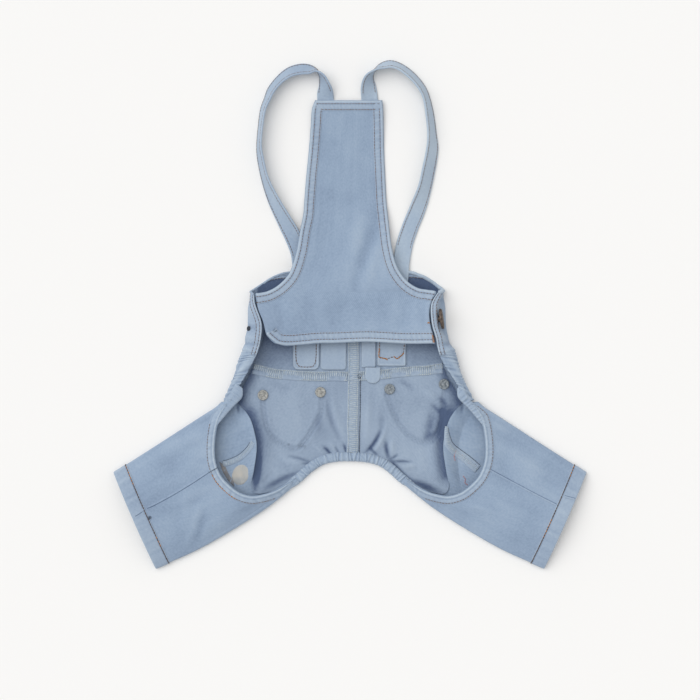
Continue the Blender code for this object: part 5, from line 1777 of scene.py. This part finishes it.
cross_rows = [tape_rows(lines, 0.5) for lines in inner_lines.values()]
sewn("inner_overlock", cross_rows, "pale", spacing=1.5, length=4.6, thread=0.42, turn=70.0,
     uneven=12.0, seed=17)

# %% [markdown]
# ## Metal
# Four rivets hold the corners of the outside pockets; their backs show inside, the left two
# bright and the right two darker. The tack button is fixed on the right placket on a short
# shank, and stands on edge because its side wall is steep. Both are turned shapes.

# %% Turned metal shapes
RIVET_PROFILE = (
    # radius, height, depth of the grooves
    (3.7, -0.3, 0.0), (4.2, 0.2, 0.0), (4.5, 0.8, 0.0), (4.35, 1.35, 0.0), (3.9, 1.6, 0.0),
    (3.3, 1.5, 0.06), (2.6, 1.15, 0.16), (1.9, 1.05, 0.16), (1.3, 1.15, 0.10), (0.9, 1.5, 0.0),
    (0.5, 1.7, 0.0), (0.1, 1.72, 0.0),
)
BUTTON_PROFILE = (
    (2.4, 0.0, 0.0), (2.4, 1.4, 0.0), (7.4, 1.45, 0.0), (8.2, 1.6, 0.0), (8.6, 2.2, 0.0),
    (8.6, 3.2, 0.0), (8.3, 3.75, 0.0), (7.7, 4.0, 0.0), (7.0, 3.9, 0.0), (6.5, 3.6, 0.0),
    (5.9, 3.55, 0.05), (5.0, 3.7, 0.09), (3.8, 3.95, 0.09), (2.6, 4.1, 0.05), (1.4, 4.2, 0.0),
    (0.2, 4.22, 0.0),
)
RIVET_PLACES = ((-73.9, -68.9), (-25.1, -66.4), (33.6, -63.8), (79.8, -59.6))
TURNED_STEPS = 48
METAL_SHARP = 60.0


def turned_mesh(name, profile, grooves):
    """A shape turned about Z: its profile gives radius, height and depth of the grooves."""
    rings = []
    angle = 2 * math.pi * np.arange(TURNED_STEPS) / TURNED_STEPS
    for radius, height, depth in profile:
        rings.append(np.column_stack([radius * np.cos(angle), radius * np.sin(angle),
                                      height + depth * np.cos(grooves * angle)]))
    mesh = capped_mesh(name, np.stack(rings))
    mesh.set_sharp_from_angle(angle=math.radians(METAL_SHARP))
    return mesh


def rivet_tree():
    """A node tree that sets one shape on every point, each turned by chance."""
    tree, given, result = new_tree(
        "set_rivets", "Rivets", Places="Geometry", Shape="Object", Size="Float", Seed="Int",
        Material="Material")
    nodes, links = tree.nodes, tree.links
    points = nodes.new("GeometryNodeMeshToPoints")
    shape = nodes.new("GeometryNodeObjectInfo")
    links.new(given.outputs["Places"], points.inputs["Mesh"])
    links.new(given.outputs["Shape"], shape.inputs["Object"])
    spin = nodes.new("FunctionNodeRandomValue")
    spin.data_type = "FLOAT"
    shown = {socket.name: socket for socket in spin.inputs if socket.enabled}
    shown["Min"].default_value = 0.0
    shown["Max"].default_value = 2 * math.pi
    links.new(given.outputs["Seed"], shown["Seed"])
    about = nodes.new("FunctionNodeAxisAngleToRotation")
    about.inputs["Axis"].default_value = (0.0, 0.0, 1.0)
    links.new(next(socket for socket in spin.outputs if socket.enabled), about.inputs["Angle"])
    set_on_points(tree, given, result, points.outputs["Points"], shape.outputs["Geometry"],
                  about.outputs[0], given.outputs["Size"])
    return tree


riveting = rivet_tree()


def riveted(name, places, grooves, material, seed):
    """Set a rivet on places, given in millimetres, and keep a plain mesh."""
    sample = bpy.data.objects.new(name + "_shape", turned_mesh(name + "_shape", RIVET_PROFILE, grooves))
    guide_mesh = bpy.data.meshes.new(name + "_places")
    guide_mesh.from_pydata([tuple(v * MM for v in place) for place in places], [], [])
    guide = bpy.data.objects.new(name + "_places", guide_mesh)
    for helper in (sample, guide):
        bpy.context.scene.collection.objects.link(helper)
    mesh = worked(guide, riveting, name, {"Shape": sample, "Size": 1.0, "Seed": seed, "Material": material})
    bpy.data.objects.remove(sample, do_unlink=True)
    return add_piece(name, mesh, material)


bright_metal = speckled("metal_bright", (0.210, 0.215, 0.215, 1.0), (0.450, 0.450, 0.420, 1.0),
                        700.0, 0.6, metallic=0.35)
dull_metal = speckled("metal_dull", (0.120, 0.145, 0.170, 1.0), (0.330, 0.360, 0.380, 1.0),
                      700.0, 0.6, metallic=0.35, bump=0.35)
bronze_metal = speckled("metal_bronze", (0.070, 0.055, 0.048, 1.0), (0.190, 0.145, 0.115, 1.0),
                        500.0, 0.55, metallic=0.7, bump=0.25)
rivet_spots = dropped(floor_tree, RIVET_PLACES)
rivets = riveted("rivets_left", rivet_spots[:2], 3, bright_metal, 3)
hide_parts("rivet_1", "rivet_2")
rivets = riveted("rivets_right", rivet_spots[2:], 5, dull_metal, 8)
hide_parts("rivet_3", "rivet_4")

# %% Tack button and eyelet
EYELET_PROFILE = (
    (2.0, -0.2, 0.0), (2.05, 0.2, 0.0), (1.8, 0.45, 0.06), (1.4, 0.45, 0.06), (1.1, 0.2, 0.03),
    (1.0, 0.0, 0.0), (0.1, -0.05, 0.0),
)
# Row along the side, share of the way across, and height over the cloth
BUTTON_PLACE = (1.8, 0.75, 0.35)
EYELET_PLACE = (2.35, 0.66, 0.3)
# The eyelet is near-black all over, painted shade for its hole
hole_dark = speckled("hole_dark", (0.012, 0.016, 0.024, 1.0), (0.045, 0.055, 0.075, 1.0), 600.0, 0.8)


def seat_on_side(side, row, share, lift):
    """Where a round piece sits on a side's wall, as a matrix with its axis out of the cloth."""
    plain, _ = side_grid(side, [row, row + 0.3])
    k = int(round(share * 2 * SIDE_STEPS))
    across = Vector(plain[0, k + 1] - plain[0, k - 1])
    down = Vector(plain[1, k] - plain[0, k])
    normal = down.cross(across).normalized()
    if normal.z < 0:
        normal.negate()
    place = normal.to_track_quat("Z", "Y").to_matrix().to_4x4()
    place.translation = (Vector(plain[0, k]) + normal * lift) * MM
    return place


def round_on_side(name, profile, grooves, side, place, material):
    """A turned piece set down on a side's wall."""
    mesh = turned_mesh(name, profile, grooves)
    mesh.transform(seat_on_side(side, *place))
    mesh.update()
    return add_piece(name, mesh, material)


button = round_on_side("tack_button_bronze", BUTTON_PROFILE, 24, 1, BUTTON_PLACE, bronze_metal)
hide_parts("tack_button")
round_on_side("eyelet", EYELET_PROFILE, 16, -1, EYELET_PLACE, hole_dark)

# %% [markdown]
# ## Small hand marks
# Bar tacks, crooked stitching on the tabs, thread knots and the faint back of the pocket
# stitches make the inside look sewn by hand.

# %% Tacks, knots and pocket stitches
TAB_RIGHT_SEAM = (
    (25.2, -22.0), (24.8, -30.0), (24.7, -36.4), (27.6, -37.3), (31.0, -38.3), (34.5, -37.0),
    (37.8, -36.6), (39.6, -37.9), (42.5, -36.3), (45.0, -33.8), (45.9, -29.0), (46.2, -22.0),
)
TAB_LEFT_SEAM = (
    (-46.0, -22.0), (-45.9, -36.0), (-44.6, -42.6), (-41.0, -44.9), (-33.2, -44.9), (-30.0, -42.6),
    (-28.8, -36.0), (-28.7, -22.0),
)
SPIRAL_TURNS = 1.7
SPIRAL_POINTS = 26
# Knots of loose thread: x and y, radius
WAIST_KNOT = (8.5, -52.7, 2.2)
HEM_KNOT = (-168.9, -172.2, 1.5)
POCKET_KNOTS = ((-40.8, -111.2, 1.7), (-38.4, -112.6, 1.3), (-43.2, -112.4, 1.2), (-52.0, -110.8, 1.0))
# A sunken row of dark thread along the right edge of the centre tape is painted shadow: it stands in for
# the shadow that the tape's edge casts
TAPE_EDGE_SHADOW = ((8.9, -54.6), (8.7, -80.0), (8.2, -100.0), (7.9, -118.2))
JOIN_LEFT = ((-118.6, -133.8), (-115.2, -131.8), (-112.0, -130.0))
PINK_MARKS = (
    ((90.4, -115.6), (89.0, -118.6), (88.4, -121.4), (89.2, -124.0)),
    ((95.4, -119.8), (97.2, -122.4)),
    ((99.6, -124.6), (100.8, -127.0)),
    ((96.4, -138.0), (98.0, -140.2), (97.6, -143.0), (99.4, -145.0)),
)
BAR_TACKS = (
    ((65.6, -7.6), (68.2, -7.9)), ((69.4, -18.2), (70.6, -24.0)), ((70.4, -18.6), (71.4, -23.0)),
)
POCKET_MARKS_END = 66.0


def spiral(x, y, radius):
    """A small spiral of thread in the plan."""
    share = np.linspace(0.25, 1, SPIRAL_POINTS)
    angle = share * SPIRAL_TURNS * 2 * math.pi
    return np.column_stack([x + radius * share * np.cos(angle), y + radius * share * np.sin(angle)])


def rows_on(tree, plans, lift=THREAD_RISE, step=0.8):
    """Plan lines dropped on a surface and lifted to lie on it."""
    rows = []
    for plan in plans:
        row = dropped(tree, fine_line(plan, step))
        row[:, 2] = smoothed(row[:, 2], 1) + lift
        rows.append(row)
    return rows


inside_tree = surface_of(*placed(*(row[0] + "_cloth" for row in TABS), *FLOOR_PANELS, "centre_tape",
                                 "waist_tape_left", "waist_tape_right"))
hem_tree = surface_of(*placed("hem_cloth_left", "leg_cloth_left"))
band_tree = surface_of(*placed("opening_band_left"))
edge_tree = surface_of(*placed("placket_right", "placket_left", "bib_lower_hem", "bib_cloth",
                               "side_cloth_right"))
sewn("tab_stitches", rows_on(inside_tree, [TAB_LEFT_SEAM, TAB_RIGHT_SEAM]), "brown", thread=0.75,
     uneven=14.0)
sewn("tab_orange", rows_on(inside_tree, [TAB_RIGHT_SEAM[1:5], TAB_RIGHT_SEAM[6:10]], lift=0.35), "orange",
     spacing=2.0, thread=1.0, uneven=26.0, seed=19)
sewn("thread_knots", rows_on(inside_tree, [spiral(*WAIST_KNOT)], lift=0.3, step=0.5), "dark",
     spacing=0.8, length=1.3, thread=0.6, uneven=20.0)
# Painted shadow along the centre tape's edge, drawn as dark thread
sewn("fold_line", rows_on(inside_tree, [TAPE_EDGE_SHADOW], lift=-0.05), "dark", spacing=2.0, length=2.7,
     thread=1.15, uneven=2.0)
sewn("hem_knot", rows_on(hem_tree, [spiral(*HEM_KNOT)], lift=0.3, step=0.5), "dark",
     spacing=0.8, length=1.3, thread=0.7, uneven=20.0)
sewn("band_join", rows_on(band_tree, [JOIN_LEFT]), "dark", spacing=1.6, length=2.2, thread=0.8, uneven=4.0)
pocket_lines = [even(POCKET[side], 80)[4:-4] for side in (-1, 1)]
pocket_lines[1] = pocket_lines[1][pocket_lines[1][:, 0] < POCKET_MARKS_END]
sewn("pocket_marks", rows_on(inside_tree, pocket_lines, lift=0.0), "faint", spacing=3.6, length=1.6,
     thread=0.4, turn=30.0, uneven=45.0, seed=23)
sewn("pocket_knots", rows_on(inside_tree, [spiral(*knot) for knot in POCKET_KNOTS], lift=0.0, step=0.5),
     "faint", spacing=0.9, length=1.2, thread=0.5, uneven=30.0)
sewn("bar_tacks", rows_on(edge_tree, BAR_TACKS, lift=0.3), "orange", spacing=0.8, length=1.9, thread=0.6,
     turn=75.0, uneven=20.0, seed=29)
sewn("pink_marks", rows_on(leg_trees[1], PINK_MARKS, lift=0.3, step=0.5), "pink", spacing=1.3, length=1.2,
     thread=0.8, uneven=60.0, seed=31)

# %% [markdown]
# Where each side runs into its leg the elastic casing bends over the top of the opening and
# narrows into the band, bunched up by the elastic.

# %% Bunched ends of the casings
BUNCH_INNER = ((90.6, -63.0, 11.0), (91.4, -71.0, 10.6), (100.0, -80.0, 10.2), (112.8, -95.0, 11.6))
BUNCH_OUTER = {
    -1: ((97.0, -58.5), (101.4, -66.5), (106.4, -73.4), (112.8, -82.4), (118.6, -96.4)),
    1: ((95.8, -58.5), (98.4, -67.0), (103.2, -74.2), (110.6, -83.4), (117.8, -96.4)),
}
BUNCH_STEPS = 9
for side, word in BOTH_SIDES:
    tree = surface_of(*placed("side_cloth_" + word, "leg_cloth_" + word))
    mirror = np.array([side, 1.0, 1.0])
    inner = even(BUNCH_INNER, 70) * mirror
    outer = dropped(tree, even(BUNCH_OUTER[side], 70) * mirror[:2])
    outer[:, 2] = np.clip(smoothed(outer[:, 2], 8), 4.0, 14.0)
    share = np.linspace(0, 1, BUNCH_STEPS)[None, :, None]
    grid = inner[:, None] + (outer - inner)[:, None] * share
    grid[..., 2] += 0.9 * np.sin(math.pi * share[..., 0]) + 0.2
    border_strip("casing_end_" + word, grid, None, BUNCHED, 131 + side, (0.0, 0.0, 1.0),
                 material=gathered_denim, pucker=0.42, period=3.2, sink=0.8, ends_at=(9.0, 0.15))

# %% [markdown]
# ## The cut of each cloth
# Every panel is a sheet of cloth that lies flat. Its longest row and column give the size it
# was cut to, and the sum of its faces gives the area. A leg is measured all round. A
# gathered piece was cut longer than it lies.

GATHERED_LENGTH = 1.25
BACK = ["back_cloth_left", "back_cloth_right"]
SHEETS = [
    # piece, how it is held, what it rests on, what is sewn on it
    ("bib_cloth", "laid", BACK + ["side_cloth_left", "side_cloth_right"],
     ["bib_edge_left", "bib_edge_right", "bib_top_edge", "bib_lower_hem"]),
    ("crotch_gathers", "gathered", ["seat_cloth_left", "seat_cloth_right"], []),
    ("tab_left_cloth", "laid", ["back_cloth_left"], []),
    ("tab_inner_left_cloth", "laid", ["back_cloth_left"], []),
    ("tab_inner_right_cloth", "laid", ["back_cloth_right"], []),
    ("tab_right_cloth", "laid", ["back_cloth_right"], []),
    ("waist_loop_cloth", "laid", ["seat_cloth_right"], []),
    ("cream_patch", "laid", ["leg_cloth_left"], ["tan_edge"]),
]
for _, word in BOTH_SIDES:
    SHEETS += [
        ("seat_cloth_" + word, "laid", [], ["centre_tape"] if word == "right" else []),
        ("back_cloth_" + word, "laid", [], ["waist_tape_" + word, "back_edge_" + word]),
        ("side_cloth_" + word, "gathered", ["back_cloth_" + word, "seat_cloth_" + word],
         ["placket_" + word, "bound_edge_" + word, "casing_end_" + word]),
        ("leg_cloth_" + word, "laid", [],
         ["opening_band_" + word, "leg_seam_" + word, "inner_tape_" + word]),
        ("hem_cloth_" + word, "folded", ["leg_cloth_" + word], ["hem_seam_" + word]),
        ("strap_cloth_" + word, "laid", ["back_cloth_" + word], []),
    ]


def cut_of(name):
    """Width, length and area of a panel's cut, in metres."""
    grid, kind = panels[name]
    if kind != "sheet":
        grid = wrapped_round(grid)
    grid = grid * MM
    across = np.linalg.norm(np.diff(grid, axis=1), axis=2).sum(axis=1).max()
    down = np.linalg.norm(np.diff(grid, axis=0), axis=2).sum(axis=0).max()
    first, second = grid[1:, 1:] - grid[:-1, :-1], grid[1:, :-1] - grid[:-1, 1:]
    area = np.linalg.norm(np.cross(first, second), axis=2).sum() / 2
    if kind == "strip":
        across, area = across / 2, area / 2
    return across, down, area


for name, held, below, sewn_on in SHEETS:
    across, down, area = cut_of(name)
    if held == "gathered":
        down, area = down * GATHERED_LENGTH, area * GATHERED_LENGTH
    size = str(round(across / MM)) + " by " + str(round(down / MM)) + " mm"
    print(name, "cut", size, "area", round(area * 1e4, 1), "cm2")
